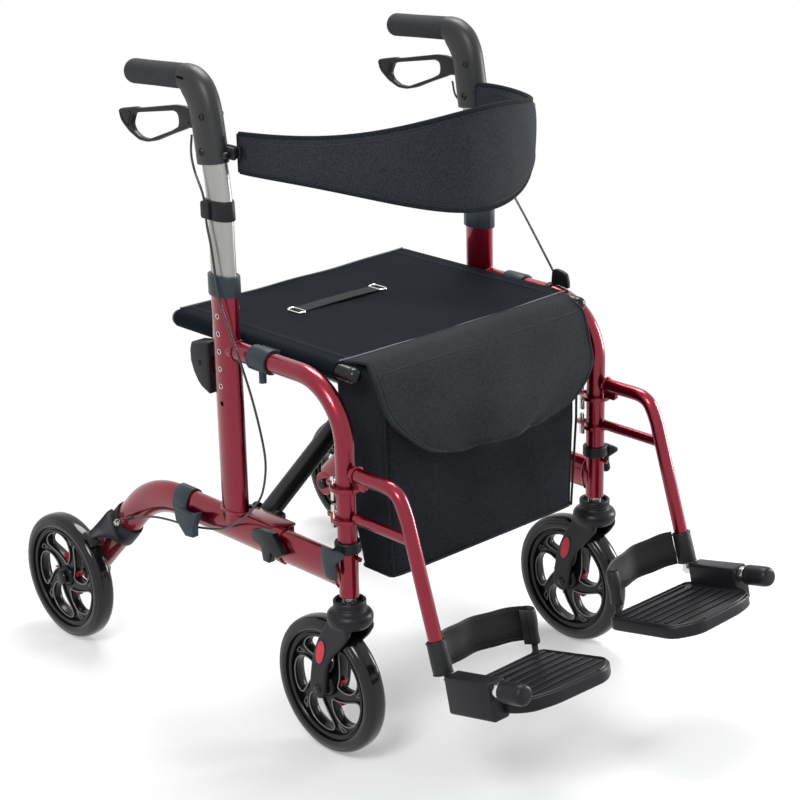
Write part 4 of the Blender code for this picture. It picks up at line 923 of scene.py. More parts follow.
# Handle
def handle(n):
    """Satin upright with a gentle bend, in a moulded elbow that carries the lever and the backrest's tab."""
    body = n + "_handle"
    bend = [(0.0, 0.740), (0.0012, 0.765), (0.0042, 0.790), (0.0082, 0.815), (0.0122, 0.846)]
    upright = smooth_route([(SIDE, POST_Y + drift, z) for drift, z in bend], 24)
    shape = Shape()
    shape.sweep(on_side([(POST_Y, 0.484), (POST_Y, 0.6)]) + upright, oval(HANDLE_SECTION, 40), SATIN)
    shape.piece(n + "_handle_upright", body, n + "_handle_tube")
    shape = Shape()
    # y, z, lean in degrees, half depth, half width
    stations = ((-0.0480, 0.8112, 8, 0.0250, 0.0160), (-0.0478, 0.8120, 8, 0.0260, 0.0170),
                (-0.0474, 0.8150, 8, 0.0263, 0.0174), (-0.0442, 0.8390, 8, 0.0265, 0.0175),
                (-0.0390, 0.8730, 10, 0.0262, 0.0176), (-0.0335, 0.8930, 18, 0.0264, 0.0177),
                (-0.0245, 0.9080, 34, 0.0262, 0.0177), (-0.0135, 0.9168, 55, 0.0235, 0.0177),
                (-0.0050, 0.9210, 75, 0.0203, 0.0177), (0.0030, 0.9230, 93, 0.0182, 0.0177))
    rings = []
    for y, z, lean, depth, width in smooth_rows(stations, 46):
        along = Vector((0, math.cos(math.radians(lean)), -math.sin(math.radians(lean))))
        rings.append(laid(ellipse(width, depth, 40, 2.3), Vector((SIDE, y, z)), X, along))
    shape.skin(rings, ELBOW_BLACK)
    lug = mm(-90, 822.5, -88, 820.5, -60, 820.5, -60, 837, -88, 837, -90, 835)
    shape.plate(lug, 0.0060, plate_at(SIDE + 0.0050), BLACK, edge=0.0010)
    shape.plate(lug, 0.0050, plate_at(SIDE + 0.0148), BLACK, edge=0.0010)
    shape.lathe(mm(0, 0, 4.5, 0, 4.5, 28.5, 0, 28.5), (SIDE - 0.006, *BACKREST_HINGE), X, BLACK_SATIN, 24)
    # on each face a screw in its recess and a rimmed hole, and on the outer face the strain-relief slot, drawn
    # as a thin near-black plate of painted shade
    screw = mm(0, 0.4, 1.8, 0.4, 2.2, 1.6, 4, 1.6, 4.8, 0.6, 4.8, -2, 0, -2)
    recess = mm(5.2, 1, 6, 0.4, 6, -1.5, 4.6, -1.5, 4.6, 0.4)
    hole = mm(2.6, 0.8, 4.2, 1, 4.8, 0, 4.8, -1.5, 2.6, -1.5)
    for face in (-1, 1):
        seat_of_screw = (SIDE + face * 0.0172, -0.0445, 0.8290)
        shape.lathe(screw, seat_of_screw, X * face, BLACK_SATIN, 28)
        shape.lathe(recess, seat_of_screw, X * face, BLACK, 32, closed=True)
        shape.lathe(hole, (SIDE + face * 0.0175, -0.0480, 0.8770), X * face, BLACK, 28, closed=True)
    slot = rounded(mm(-13, 923, 0.8, 924, 0.8, 927.2, -13, 926.2), 0.0010)
    shape.plate(slot, 0.0030, plate_at(SIDE - 0.0168), SLOT_SHADE, edge=0.0003)
    shape.lathe(mm(0, 0, 4, 0, 4, -1, 0, -1.2), (SIDE - 0.0170, *LEVER_PIVOT), X, BLACK_SATIN, 20)
    shape.piece(n + "_handle_elbow", body, n + "_handle_body")


def grip(n):
    """Foam grip with a rolled collar, a slight waist and a domed end."""
    start, end = Vector((SIDE, *GRIP_START)), Vector((SIDE, *GRIP_END))
    length = (end - start).length
    collar, dome, steps = 0.0200, 0.0140, 30
    profile = [(0.90, 0.0), (0.97, 0.0006), (1.0, 0.0030), (1.0, collar)]
    for i in range(1, steps):
        height = collar + (length - collar - dome) * i / steps
        profile.append((1.0 - 0.012 * math.sin(math.pi * i / steps) ** 2, height))
    for i in range(9):
        a = math.radians(90 * (i + 0.001) / 8)
        profile.append((math.cos(a), length - dome + dome * math.sin(a)))
    shape = Shape().lathe([(GRIP_RADIUS * share, h) for share, h in profile], start, end - start, FOAM, 56)
    shape.piece(n + "_foam_grip", n + "_handle", n + "_grip")


def cable_clip(n):
    """Black band round the upright that holds the brake cable."""
    shape = Shape()
    rings = []
    for z, wall in mm(735, 0.6, 735.5, 2, 737.5, 2.6, 760.5, 2.6, 762.5, 2, 763, 0.6):
        drift = 0.0012 * max(0.0, (z - 0.740) / 0.025)
        rings.append(laid(oval(HANDLE_SECTION, 40, wall), Vector((SIDE, POST_Y + drift, z))))
    shape.skin(rings, BLACK)
    ear = mm(-56, 737, -40, 737, -38, 740, -38, 758, -40, 761, -56, 761)
    shape.plate(ear, 0.0070, plate_at(SIDE - 0.0160), BLACK, edge=0.0012)
    shape.piece(n + "_cable_clip", n + "_handle")


def brake_lever(n):
    """Loop lever: a slim hub, a straight top bar, a drooping lower bar and a nose with a rimmed hollow."""
    outer = mm(160.1, 855.6, 156, 859.2, 121.2, 865.9, 112.4, 865.3, 69.9, 873.3, 29.5, 880.8, 10.2, 881.5,
               -6, 879.5, -22, 873.5, -26.2, 866, -25.5, 860, -16, 854.5, -1, 853.5, 10, 849, 38.1, 838.8,
               74.6, 824.3, 95.4, 819.4, 114.6, 819.5, 135.8, 827.7, 150.4, 837.8, 156.2, 843.6)
    opening = mm(111.8, 859.2, 30.2, 872.8, 20.6, 870, 19.1, 860, 21.5, 852, 38.2, 844, 93.8, 823.5,
                 113, 824, 127.5, 830.8, 132.5, 840, 124.7, 856)
    hollow = mm(133, 858.5, 153.5, 854.5, 155.3, 851, 149, 843, 138.5, 835.2, 136, 837.2, 137.2, 840.5,
                130, 855.5)
    shape = Shape()
    shape.plate(rounded(outer, 0.0040), 0.0100, plate_at(SIDE), BLACK, [rounded(opening, 0.0045)],
                edge=0.0024, steps=3)
    for face in (-0.0050, 0.0050):
        shape.rim(on_side(rounded(hollow, 0.0030), face), 0.0010, 0.0008, BLACK)
        shape.tube(on_side([(0.034, 0.8760), (0.108, 0.8625)], face), 0.0008, BLACK, 8)
    shape.piece(n + "_loop_lever", n + "_lever", n + "_brake_lever")


# Footrest
def along_stem(distance):
    return Vector((SIDE, *HANGER_END)) + STEM_DIRECTION * distance


def footrest_hanger(n):
    """Swing-away hanger: two flanged rings round the leg, a bent tube and a strut."""
    shape = Shape()
    for z in RING_Z:
        shape.hoop((SIDE, LEG_Y, z), Z, LEG_RADIUS + 0.0008, 0.0222, 0.0030, (0.0006, 0.0006), RED, 56)
        lobe = mm(-288, -8, -270, -8, -266, -5.5, -266, 5.5, -270, 8, -288, 8)
        flat = Matrix(((0, 1, 0, SIDE), (1, 0, 0, 0), (0, 0, 1, z), (0, 0, 0, 1)))
        shape.plate(lobe, 0.0056, flat, RED, edge=0.0008)
    bend = mm(-315, 432.5, -350, 432.5, -380, 432.5, -393.5, 430, -404, 423.5, -411.5, 412, -418.5, 397)
    shape.tube(smooth_route(on_side(bend), 24) + [along_stem(0.10), along_stem(0.0)], HANGER_RADIUS, RED, 28)
    shape.tube(on_side([(-0.3185, 0.3690), (-0.4260, 0.3690)]), 0.0075, RED, 24)
    web = mm(-320, 412.6, -338, 412.6, -341, 416, -341, 428, -318, 428, -318, 412.6)
    shape.plate(web, 0.0070, plate_at(SIDE), RED, edge=0.0010)
    weld_bead(shape, (-0.4245, 0.3690), (0, 1, 0.32), 0.0084, 0.0084, 0.0014, 36)
    weld_bead(shape, (-0.3222, 0.4325), Y, 0.0112, 0.0112, 0.0016, 40)
    shape.piece(n + "_hanger_tube", n + "_hanger", n + "_footrest_hanger")
    shape = Shape()
    for low, high in ((0.3830, 0.4180), (0.3440, 0.3770)):
        pin = [(0.0, low), (0.0036, low), (0.0042, low + 0.0008), (0.0042, high - 0.0012), (0.0036, high),
               (0.0, high)]
        shape.lathe(pin, (SIDE, LEG_Y + 0.0262, 0.0), Z, STEEL, 24)
    for z in RING_Z:
        bolt = mm(0, 6.8, 3.6, 6.4, 4.8, 5.2, 4.8, 3, 0, 3)
        shape.lathe(bolt, (SIDE + 0.0010, LEG_Y + 0.0182, z), Z, STEEL, 6)
    shape.piece(n + "_hanger_pins", n + "_hanger")


def strap_sleeve(n):
    """The heel strap's vinyl sleeve, sewn round the lower end of the hanger."""
    shape = Shape()
    profile = mm(11.2, 45.5, 12.6, 45.8, 13.1, 44, 13.4, 30, 13.7, 16, 13.5, 4, 12.8, 0.2, 11.2, 0)
    shape.lathe(profile, along_stem(-0.0145), STEM_DIRECTION, STRAP_CLOTH, 48, closed=True)
    for height in (0.0012, 0.0438):
        seam = laid(ellipse(0.0134, 0.0134, 40), along_stem(height - 0.0145), X, STEM_DIRECTION.cross(X))
        shape.rim(seam, 0.0009, 0.0009, STRAP_CLOTH, STEM_DIRECTION)
    shape.piece(n + "_strap_sleeve", n + "_hanger")


def footrest_rod(n):
    """Sliding rod that turns forward from the hanger into the plate's hinge, with a ridged cap."""
    low = FOOT_HINGE - FOOT_FORWARD * 0.1010
    turn = smooth_route([along_stem(-0.0100), along_stem(-0.0180), along_stem(-0.0230).lerp(low, 0.35), low,
                         low + FOOT_FORWARD * 0.012], 20)
    shape = Shape()
    shape.tube([along_stem(0.066)] + turn + [FOOT_HINGE + FOOT_FORWARD * 0.0040], 0.0078, STEEL, 28)
    bush = mm(0, 0, 10.8, 0, 11.2, 0.6, 11.2, 11.6, 10.8, 12.2, 0, 12.2)
    shape.lathe(bush, FOOT_HINGE, FOOT_FORWARD, STEEL, 40)
    shape.piece(n + "_rod_tube", n + "_rod", n + "_footrest_rod")
    cap = mm(0, 11, 12, 11, 14, 12, 14.5, 14, 14.5, 17.5, 13.9, 18.2, 13.9, 19, 14.5, 19.7, 14.6, 40,
             14.3, 45, 13.4, 49.2, 11.6, 51.6, 8.8, 52.7, 5, 53, 0, 53)
    Shape().lathe(cap, FOOT_HINGE, FOOT_FORWARD, BLACK, 48).piece(n + "_rod_cap", n + "_rod")


def footplate(n):
    """Moulded plate with a rolled edge, a raised hinge block, a strap post and seven soft-edged ribs."""
    place = Matrix((X, -FOOT_FORWARD, FOOT_UP)).transposed().to_4x4()
    place.translation = FOOT_HINGE
    loop = rounded(mm(8, 97.5, 181.5, 100.5, 187, -24, 154, -48, 60, -44, 25, -33, 8, -6), 0.016, 6)
    shape = Shape()
    shape.plate(loop, 0.0180, place @ Matrix.Translation((0, 0, -0.0260)), BLACK, edge=0.0034, steps=3)
    block = mm(-13.5, -40, 16, -40, 16, 12.5, -13.5, 12.5)
    upright = Matrix(((1, 0, 0, 0), (0, 0, -1, 0.0420), (0, 1, 0, 0), (0, 0, 0, 1)))
    shape.plate(rounded(block, 0.0050, 5), 0.0832, place @ upright, BLACK, edge=0.0016)
    shape.rim([place @ Vector((u, v, -0.0168)) for u, v in inset(loop, 0.0045)], 0.0018, 0.0018, BLACK)
    stud = mm(0, -31, 6.4, -31, 6.4, -16, 4.4, -12, 4.4, 43, 5.2, 44, 5.2, 47.8, 4, 48.9, 0, 49)
    shape.lathe(stud, place @ Vector((0.1640, 0.0925, 0.0)), FOOT_UP, BLACK, 28)
    shape.piece(n + "_foot_tray", n + "_plate", n + "_footplate")
    rows = [place @ Vector((0.1020, 0.0850 - 0.0175 * i, -0.01635)) for i in range(7)]
    ribs = TREAD.run(n + "_tread_ribs", [rows], Slope=-FOOT_TILT)
    soften(ribs, 0.0007)
    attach(ribs, n + "_plate")


def heel_strap(n):
    """Vinyl band behind the heels, from the hanger's sleeve to a loop round the plate's post."""
    outer = Vector((SIDE + 0.0115, -0.4665, 0.2185))
    inner = Vector((-0.0800, -0.4772, 0.2120))
    steps = 40
    middles, leans = [], []
    for i in range(steps + 1):
        t = i / steps
        middle = outer.lerp(inner, t)
        middle.y += 0.0160 * 4 * t * (1 - t) + 0.0012 * math.sin(t * 17.0)
        middles.append(middle)
        leans.append(0.305 - 0.085 * t)
    # the loop's end turns round the post and lies on the band's front
    stud = Vector((-0.0850, -0.4850, 0.2120))
    middles += [stud + Vector((*polar(0.0078, math.radians(62 - 26 * i)), 0.0)) for i in range(1, 10)]
    middles += [Vector((-0.0935, -0.4868, 0.2120)), Vector((-0.0990, -0.4805, 0.2121))]
    leans += [0.22] * 11
    rings, top, low = [], [], []
    last = len(middles) - 1
    for i, middle in enumerate(middles):
        ahead = middles[min(i + 1, last)] - middles[max(i - 1, 0)]
        normal = Vector((-ahead.y, ahead.x, 0)).normalized()
        upright = Vector((0, leans[i], 1))
        swell = math.sin(math.pi * min(1.0, i / steps))
        half = 0.0236 - 0.0014 * swell ** 2
        ring = []
        for a, b in ellipse(0.0012, half, 24, 4.0):
            crease = normal * (a + 0.0007 * math.sin(b * 160.0))
            ring.append(middle + crease + upright * (b + 0.003 * swell * b / half / 2))
        rings.append(ring)
        if i <= steps:
            for seam, side in ((top, 1), (low, -1)):
                seam.append(middle - normal * 0.0016 + upright * (side * (half - 0.004)))
    band = Shape().skin(rings, STRAP_CLOTH).piece(n + "_heel_band", node=n + "_heel_strap")
    sewing = STITCHES.run(n + "_heel_stitches", [top, low])
    for piece in (band, sewing):
        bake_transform(piece)


# Cross brace and seat rails
def brace_bar(name, foot_y, body, mirror):
    """Flat black bar from its foot on one rail up to the other side's seat rail."""
    run, rise = 2 * SEAT_RAIL_X, SEAT_RAIL_Z - BRACE_FOOT_Z
    length = math.hypot(run, rise)
    along = Vector((run, 0, rise)) / length
    across = Vector((-rise, 0, run)) / length
    half_bar = 0.0090
    rings = []
    for s in (-0.0088, -0.0080, -0.0060, -0.0030, 0.0, 0.02, length / 2, length - 0.03, length - 0.0100,
              length - half_bar):
        half = half_bar if s > -0.001 else half_bar * math.sqrt(max(0.02, 1 - (s / half_bar) ** 2))
        point = Vector((-SEAT_RAIL_X, foot_y, BRACE_FOOT_Z)) + along * s
        point.y += 0.1395 * (point.x + SEAT_RAIL_X)
        rings.append(laid(ellipse(0.0165, half, 36, 3.6), point, Y, across))
    Shape().skin(rings, BLACK_SATIN).piece(name + "_flat_tube", body, name, mirror=mirror)


def seat_rail(n, body):
    """Black tube in the seat's edge with a ball cap at the front and a plug at the back."""
    front, back = -0.2990, 0.0930
    long = back - front
    profile = [(0.0, 0.0), (0.42, 0.0006), (0.76, 0.0028), (0.95, 0.0066), (1, 0.0110), (0.97, 0.0130),
               (0.97, 0.0140), (1, 0.0150), (1, long - 0.0160), (0.97, long - 0.0150), (0.97, long - 0.0140),
               (1, long - 0.0130), (1, long - 0.0020), (0.86, long), (0.0, long)]
    shape = Shape()
    shape.lathe([(SEAT_RAIL_RADIUS * share, h) for share, h in profile], (-SEAT_RAIL_X, front, SEAT_RAIL_Z), Y,
                BLACK_SATIN, 40)
    shape.piece(n + "_rail_tube", body, n + "_seat_rail")


def brace():
    brace_bar("cross_bar_front", -0.0965, "front_bar_body", False)
    brace_bar("cross_bar_rear", -0.0570, "rear_bar_body", True)
    refined("cross_pivot_bolt", STEEL, 0.0006)
    seat_rail("right", "rear_bar_body")
    seat_rail("left", "front_bar_body")


# Seat
def carried_by_brace(*pieces):
    """Cloth that one bar carries at the right rail and the other at the left rail; here each piece only has its
    place baked into its mesh.
    """
    for piece in pieces:
        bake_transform(piece)


def seat_section(y):
    """Points (x, z) of the seat's upper face at a depth, from one sleeve's underside to the other's."""
    wrap = [polar(SLEEVE_RADIUS, math.radians(250 - 20 * k)) for k in range(9)]
    right = [(-SEAT_RAIL_X + x, SEAT_RAIL_Z + z) for x, z in wrap]
    middle = []
    for i in range(1, 48):
        x = -SEAT_RAIL_X + 2 * SEAT_RAIL_X * i / 48
        share = x / SEAT_RAIL_X
        sag = SEAT_SAG * (1 - share ** 2)
        ripple = 0.0007 * math.sin(share * 9.0 + y * 22.0) * (1 - share ** 2)
        middle.append((x, SEAT_RAIL_Z + SLEEVE_RADIUS - sag + ripple))
    return right + middle + [(-x, z) for x, z in right][::-1]


def seat():
    """Sling seat: one panel whose sides are sewn into sleeves round the rails."""
    rings = []
    for k in range(41):
        y = -0.2620 + 0.347 * k / 40
        section = seat_section(y)
        under = []
        for i, (x, z) in enumerate(section):
            d = (Vector(section[min(i + 1, len(section) - 1)]) - Vector(section[max(i - 1, 0)])).normalized()
            under.append(Vector((x + d.y * 0.0021, y, z - d.x * 0.0021)))
        rings.append([Vector((x, y, z)) for x, z in section] + under[::-1])
    panel = Shape().skin(rings, SEAT_CLOTH).piece("seat_panel", node="seat", sharp=60)
    lines = []
    for edge in (-0.2585, 0.0815):
        lines.append([Vector((x, edge, z + 0.0003)) for x, z in seat_section(edge)[9:-9]])
    for side in (-1, 1):
        for inwards in (0.0165, 0.0205):
            x = side * (SEAT_RAIL_X - inwards)
            z = SEAT_RAIL_Z + SLEEVE_RADIUS - SEAT_SAG * (1 - (x / SEAT_RAIL_X) ** 2) + 0.0004
            lines.append([Vector((x, -0.2580 + 0.0105 * i, z)) for i in range(33)])
    sewing = STITCHES.run("seat_stitches", lines)
    shape = Shape()
    for edge in (-0.2622, 0.0852):
        welt = [Vector((x, edge, z + 0.0012)) for x, z in seat_section(edge)[8:-8]]
        shape.sweep(welt, ellipse(0.0013, 0.0013, 10), PIPING, Y)
    binding = shape.piece("seat_binding")
    carried_by_brace(panel, sewing, binding)


def pull_strap():
    """Webbing handle across the seat's middle with plated ends; pulling it folds the walker."""
    right, left, y = -0.108, 0.050, -0.042
    top = SEAT_RAIL_Z + SLEEVE_RADIUS - SEAT_SAG
    route = []
    for i in range(29):
        t = i / 28
        rise = 0.0014 * math.sin(math.pi * t) ** 0.8
        route.append(Vector((right + (left - right) * t, y, top + 0.0015 + rise)))
    strap = Shape().sweep(route, ellipse(0.0120, 0.0011, 24, 4.0), WEBBING, Y).piece("pull_strap")
    shape = Shape()
    wire = rounded([(-0.0065, -0.0145), (0.0065, -0.0145), (0.0065, 0.0145), (-0.0065, 0.0145)], 0.005)
    for x in (right, left):
        shape.rim(laid(wire, Vector((x, y, top + 0.0024))), 0.0011, 0.0011, STEEL, Z)
    carried_by_brace(strap, shape.piece("pull_strap_loops"))


# Bag and flap
def bag():
    """Soft bag under the seat: flat sewn walls that belly a little, crisp bound edges at the bottom."""
    low, high, levels = 0.2600, 0.5590, 44
    low_half_width = 0.1825
    outline = ellipse(1.0, 1.0, 120, 14.0)
    rings, bound = [], [[], []]
    for k in range(levels + 1):
        t = k / levels
        z = low + (high - low) * t
        half = low_half_width + 0.0095 * min(1.0, t / 0.45)
        front = -0.3165 + 0.0215 * max(0.0, (z - 0.5280) / 0.0310) ** 1.6
        back = -0.2520 + 0.0380 * min(1.0, t / 0.55)
        slack = math.sin(math.pi * min(1.0, t * 1.05))
        ring = []
        for u, v in outline:
            fold = 0.0016 * math.sin(u * 11.0 + t * 5.0) * slack + 0.0012 * math.sin(u * 4.0 - t * 8.0)
            belly = math.copysign(1.0, v) * (fold - 0.0022 * slack)
            belly *= max(0.0, 1 - u ** 6) * min(1.0, abs(v) ** 4)
            waist = math.copysign(0.0060, u) * slack * max(0.0, 1 - abs(v) ** 6) * min(1.0, abs(u) ** 4)
            ring.append(Vector((half * u - waist, (front + back) / 2 + (back - front) / 2 * v + belly, z)))
        rings.append(ring)
        for row, corner in zip(bound, (-1, 1)):
            row.append(Vector((corner * half * 0.985, front + 0.0012, z)))
    shape = Shape().skin(rings, BAG_CLOTH)
    for row in bound:
        shape.sweep(row, ellipse(0.0018, 0.0018, 8), WEBBING, Y)
    seam = [Vector((low_half_width * u, -0.28425 + 0.0325 * v, low + 0.0008)) for u, v in outline]
    shape.rim(seam, 0.0022, 0.0022, WEBBING, Z)
    shell = shape.piece("bag_shell", "left_frame_body", "bag", sharp=60)
    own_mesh(shell)


# y, z and half width of the flap at stations down its length
FLAP = np.array(mm(-264, 569, 214, -280, 570, 206, -295, 568, 199.5, -311.5, 557.7, 203.9, -323.5, 544, 204.6,
                   -338, 513, 201, -349, 491.4, 193.8, -357, 472.8, 176.5, -360, 452, 151.7, -361, 440, 125,
                   -361, 431, 85, per=3))
FLAP_END = len(FLAP) - 1.0


def flap_point(t, s, lift=0.0):
    """A point on the flap: t runs down its length in stations, s across from -1 to 1."""
    y, z, half = smooth_row(FLAP, t)
    near = smooth_row(FLAP, min(t + 0.05, FLAP_END)) - smooth_row(FLAP, max(t - 0.05, 0.0))
    along = Vector((0, near[0], near[1])).normalized()
    out = Vector((0, along.z, -along.y))
    if (out.y > 0 and abs(out.y) > abs(out.z)) or (out.z < 0 and abs(out.z) > abs(out.y)):
        out = -out
    belly = 0.0050 * math.cos(s * math.pi * 1.5) * min(1.0, max(0.0, (t - 3) / 4))
    bend = 0.010 * s ** 4 * min(1.0, max(0.0, (t - 2) / 3))
    ripple = 0.0011 * math.sin(s * 11.0 + t * 0.9) * min(1.0, max(0.0, (t - 2.5) / 2))
    return Vector((half * s, y - belly + bend + ripple, z)) + out * lift


def flap_line(t, reach, lift, steps=60):
    return [flap_point(t, 2 * reach * i / steps - reach, lift) for i in range(steps + 1)]


def flap_border(down, across, end, lift, first, last):
    """A line down the right edge of the flap, across its end and up the left edge."""
    sides = [FLAP_END * j / 60 * down for j in range(61)]
    line = [flap_point(t, -across, lift) for t in sides[first:]]
    line += [flap_point(end, 2 * across * i / 40 - across, lift) for i in range(1, 40)]
    return line + [flap_point(t, across, lift) for t in sides[:last:-1]]


def bag_flap():
    """Thin flap that lies over the seat's front edge and hangs down the bag, bound and sewn."""
    columns, rows = 84, 72
    rings = []
    for j in range(rows + 1):
        upper, under = (flap_line(FLAP_END * j / rows, 1, lift, columns) for lift in (0.0016, -0.0014))
        rings.append(upper + under[::-1])
    flap = Shape().skin(rings, FLAP_CLOTH).piece("bag_flap_cloth", node="bag_flap", sharp=60)
    edge = flap_border(1.0, 1.0, FLAP_END, 0.0, 0, None)
    shape = Shape().sweep(edge, ellipse(0.0034, 0.0026, 14, 2.6), FLAP_CLOTH, Vector((0, -1, 0.001)))
    binding = shape.piece("bag_flap_binding")
    lines = [flap_line(3.15, 0.95, 0.0020), flap_line(0.25, 0.95, 0.0020),
             flap_border(0.985, 0.962, FLAP_END - 0.25, 0.0019, 2, 1)]
    sewing = STITCHES.run("bag_flap_stitches", lines)
    carried_by_brace(flap, binding, sewing)


# Backrest
def backrest_line(angle):
    """Middle, outward normal, half height and swelling of the bow, at an angle from 0 to pi."""
    bow = math.sin(angle)
    x = math.copysign(BACKREST_HALF_WIDTH * abs(math.cos(angle)) ** 1.05, -math.cos(angle))
    y = BACKREST_HINGE[0] - BACKREST_BULGE * bow ** 1.05
    slope = Vector((BACKREST_HALF_WIDTH * bow, -BACKREST_BULGE * math.cos(angle), 0)).normalized()
    top = 0.8534 + 0.0364 * bow ** 3.9 + 0.0160 * bow * (1 - bow)
    low = 0.7992 - 0.0497 * bow ** 3.0
    swell = min(1.0, bow / 0.5) ** 1.5
    return Vector((x, y, (top + low) / 2)), Vector((-slope.y, slope.x, 0)), (top - low) / 2, swell


def pinch(share):
    """How the padding thins where it is sewn, near the band's edges."""
    return 1.0 - 0.42 * max(0.0, (share - 0.80) / 0.20) ** 0.7


def backrest():
    """Padded band: a soft core between two bound edges, tapered into moulded hinge tabs."""
    steps, power, seam_edge = 120, 2.9, 0.0092
    rings, upper, lower = [], [], []
    seams = [[], [], [], []]
    for i in range(steps + 1):
        angle = math.pi * i / steps
        centre, normal, half, swell = backrest_line(angle)
        thick = 0.0040 + 0.0034 * swell
        ring = []
        for u, v in ellipse(1.0, 1.0, 44, power):
            ripple = 0.0005 * math.sin(angle * 21.0 + v * 3.0) * swell * (1 - v * v)
            ring.append(centre + normal * (u * thick * pinch(abs(v)) + ripple) + Z * (v * half * 0.985))
        rings.append(ring)
        upper.append(centre + Z * (half - 0.0014))
        lower.append(centre - Z * (half - 0.0014))
        if 8 <= i <= steps - 8:
            reach = (half - seam_edge) / half
            wide = thick * max(0.0, 1 - reach ** power) ** (1 / power) * pinch(reach) + 0.0004
            for seam, face, side in zip(seams, (-1, -1, 1, 1), (1, -1, 1, -1)):
                seam.append(centre + normal * (face * wide) + Z * (side * (half - seam_edge)))
    pad = Shape().skin(rings, BACK_CLOTH).piece("backrest_pad", node="backrest", sharp=70)
    shape = Shape()
    for edge in (upper, lower):
        shape.sweep(edge, ellipse(0.0036, 0.0030, 14, 2.6), BAG_CLOTH, Z)
    for angle, side in ((0.0, -1), (math.pi, 1)):
        centre, _, half, _ = backrest_line(angle)
        edge = [Vector((side * BACKREST_HALF_WIDTH, BACKREST_HINGE[0] + 0.0004, z))
                for z in np.linspace(centre.z - half + 0.001, centre.z + half - 0.001, 12)]
        shape.sweep(edge, ellipse(0.0042, 0.0030, 14, 2.6), BAG_CLOTH)
        tongue = rounded(mm(-96, 820, -74.5, 820, -72.5, 822.5, -72.5, 833.5, -74.5, 836, -96, 836), 0.002)
        shape.plate(tongue, 0.0040, plate_at(side * (BACKREST_HALF_WIDTH + 0.0036)), BLACK, edge=0.0010)
    binding = shape.piece("backrest_binding")
    sewing = STITCHES.run("backrest_stitches", seams)
    for piece in (pad, binding, sewing):
        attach(piece, "backrest_body")
        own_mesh(piece)


# Cables: how far outside the frame's plane, y and z, from the lever down to the brake
CABLE_TOP = mm(0, -3, 844, 5, -6, 820, 15, -25, 799, per=3)
CABLE_LOW = mm(20.5, -144.8, 359.5, 20.5, -120.9, 329.9, 20.5, -92.3, 304.7, 20.5, -49.7, 280, 20.7, 0, 267,
               20.7, 40, 260.5, 20.5, 80, 256, 20.5, 115, 250, 20.5, 150, 239, 20.5, 180, 229, per=3)
# the right cable lies against the handle tube, the left one bows forward past its guide
CABLE_MIDDLE = {
    "right": mm(16, -42.5, 767, 17, -48.1, 728.8, 19, -58.5, 695.5, 21, -72.7, 627.3, 20, -95.1, 577.6,
                20, -115.9, 536.2, 20.5, -136.5, 490.3, 20.5, -153, 436.4, 20.5, -156, 400, per=3),
    "left": mm(17.8, -55, 752, 17.8, -100, 698.5, 17, -143, 648, 14.5, -180, 605, 12, -204, 578,
               19.5, -215, 551, 20.5, -208, 510, 20.5, -190, 450, 20.5, -170, 395, per=3),
}


def brake_cable(n):
    """Sheathed cable from the lever down to the brake, with a ferrule at its lower end."""
    route = smooth_route([(SIDE - x, y, z) for x, y, z in CABLE_TOP + CABLE_MIDDLE[n] + CABLE_LOW], 132)
    cable = Shape().tube(route, CABLE_RADIUS, SHEATH, 14).piece(n + "_cable_sheath")
    ferrule = mm(0, 0, 2.6, 0, 2.8, 0.4, 2.8, 12, 2.4, 12.6, 0, 12.6)
    way = (route[-1] - route[-4]).normalized()
    shape = Shape().lathe(ferrule, route[-1] - way * 0.0126, way, BLACK_SATIN, 20)
    tip = shape.piece(n + "_cable_ferrule", n + "_frame_body")
    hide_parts(n + "_brake_cable")
    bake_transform(cable)


def cable_guide():
    """Tab with a rounded head on a band round the left top tube, beside the left cable."""
    shape = Shape()
    tab = mm(-240.5, 562.2, -226.5, 564.6, -206.5, 565.3, -207, 575, -208.5, 586, -214.5, 589, -226, 588,
             -237, 584, -240, 574)
    shape.plate(rounded(tab, 0.004, 5), 0.0064, plate_at(0.2540), BLACK, edge=0.0014)
    shape.hoop((-SIDE, -0.2085, TOP_TUBE_Z), Y, LEG_RADIUS + 0.0006, 0.0162, 0.0050, (0.0006, 0.0007),
               BLACK, 40)
    shape.piece("cable_guide_tab", "left_frame_body", "cable_guide")


# Collar and brake
def leg_collar(n):
    """Clamping band round the leg with a swelling wing knob on its outer side."""
    shape = Shape()
    shape.hoop((SIDE, LEG_Y, 0.3240), Z, LEG_RADIUS + 0.0005, 0.0184, 0.0075, (0.0008, 0.0010), BLACK, 48)
    # z, the wing's front and back and its half thickness
    wing = mm(326.2, -318, -280, 2.2, 324.5, -321.5, -276.5, 3.6, 319, -320, -275, 4.4, 312, -311.5, -275.5, 5,
              305, -304, -276.5, 5.2, 296, -305, -279, 5.2, 288, -306.5, -281.5, 5, 283, -303.5, -285, 4,
              281.2, -300, -288, 2, per=4)
    rings = [laid(ellipse(half, (back - front) / 2, 32, 2.3), Vector((SIDE - 0.0265, (front + back) / 2, z)))
             for z, front, back, half in smooth_rows(wing, 40)]
    shape.skin(rings, CLIP_GREY)
    shape.tube([(SIDE - 0.0150, LEG_Y, 0.3230), (SIDE - 0.0280, LEG_Y, 0.3200)], 0.0065, BLACK, 20)
    shape.piece(n + "_wing_collar", n + "_frame_body", n + "_leg_collar")


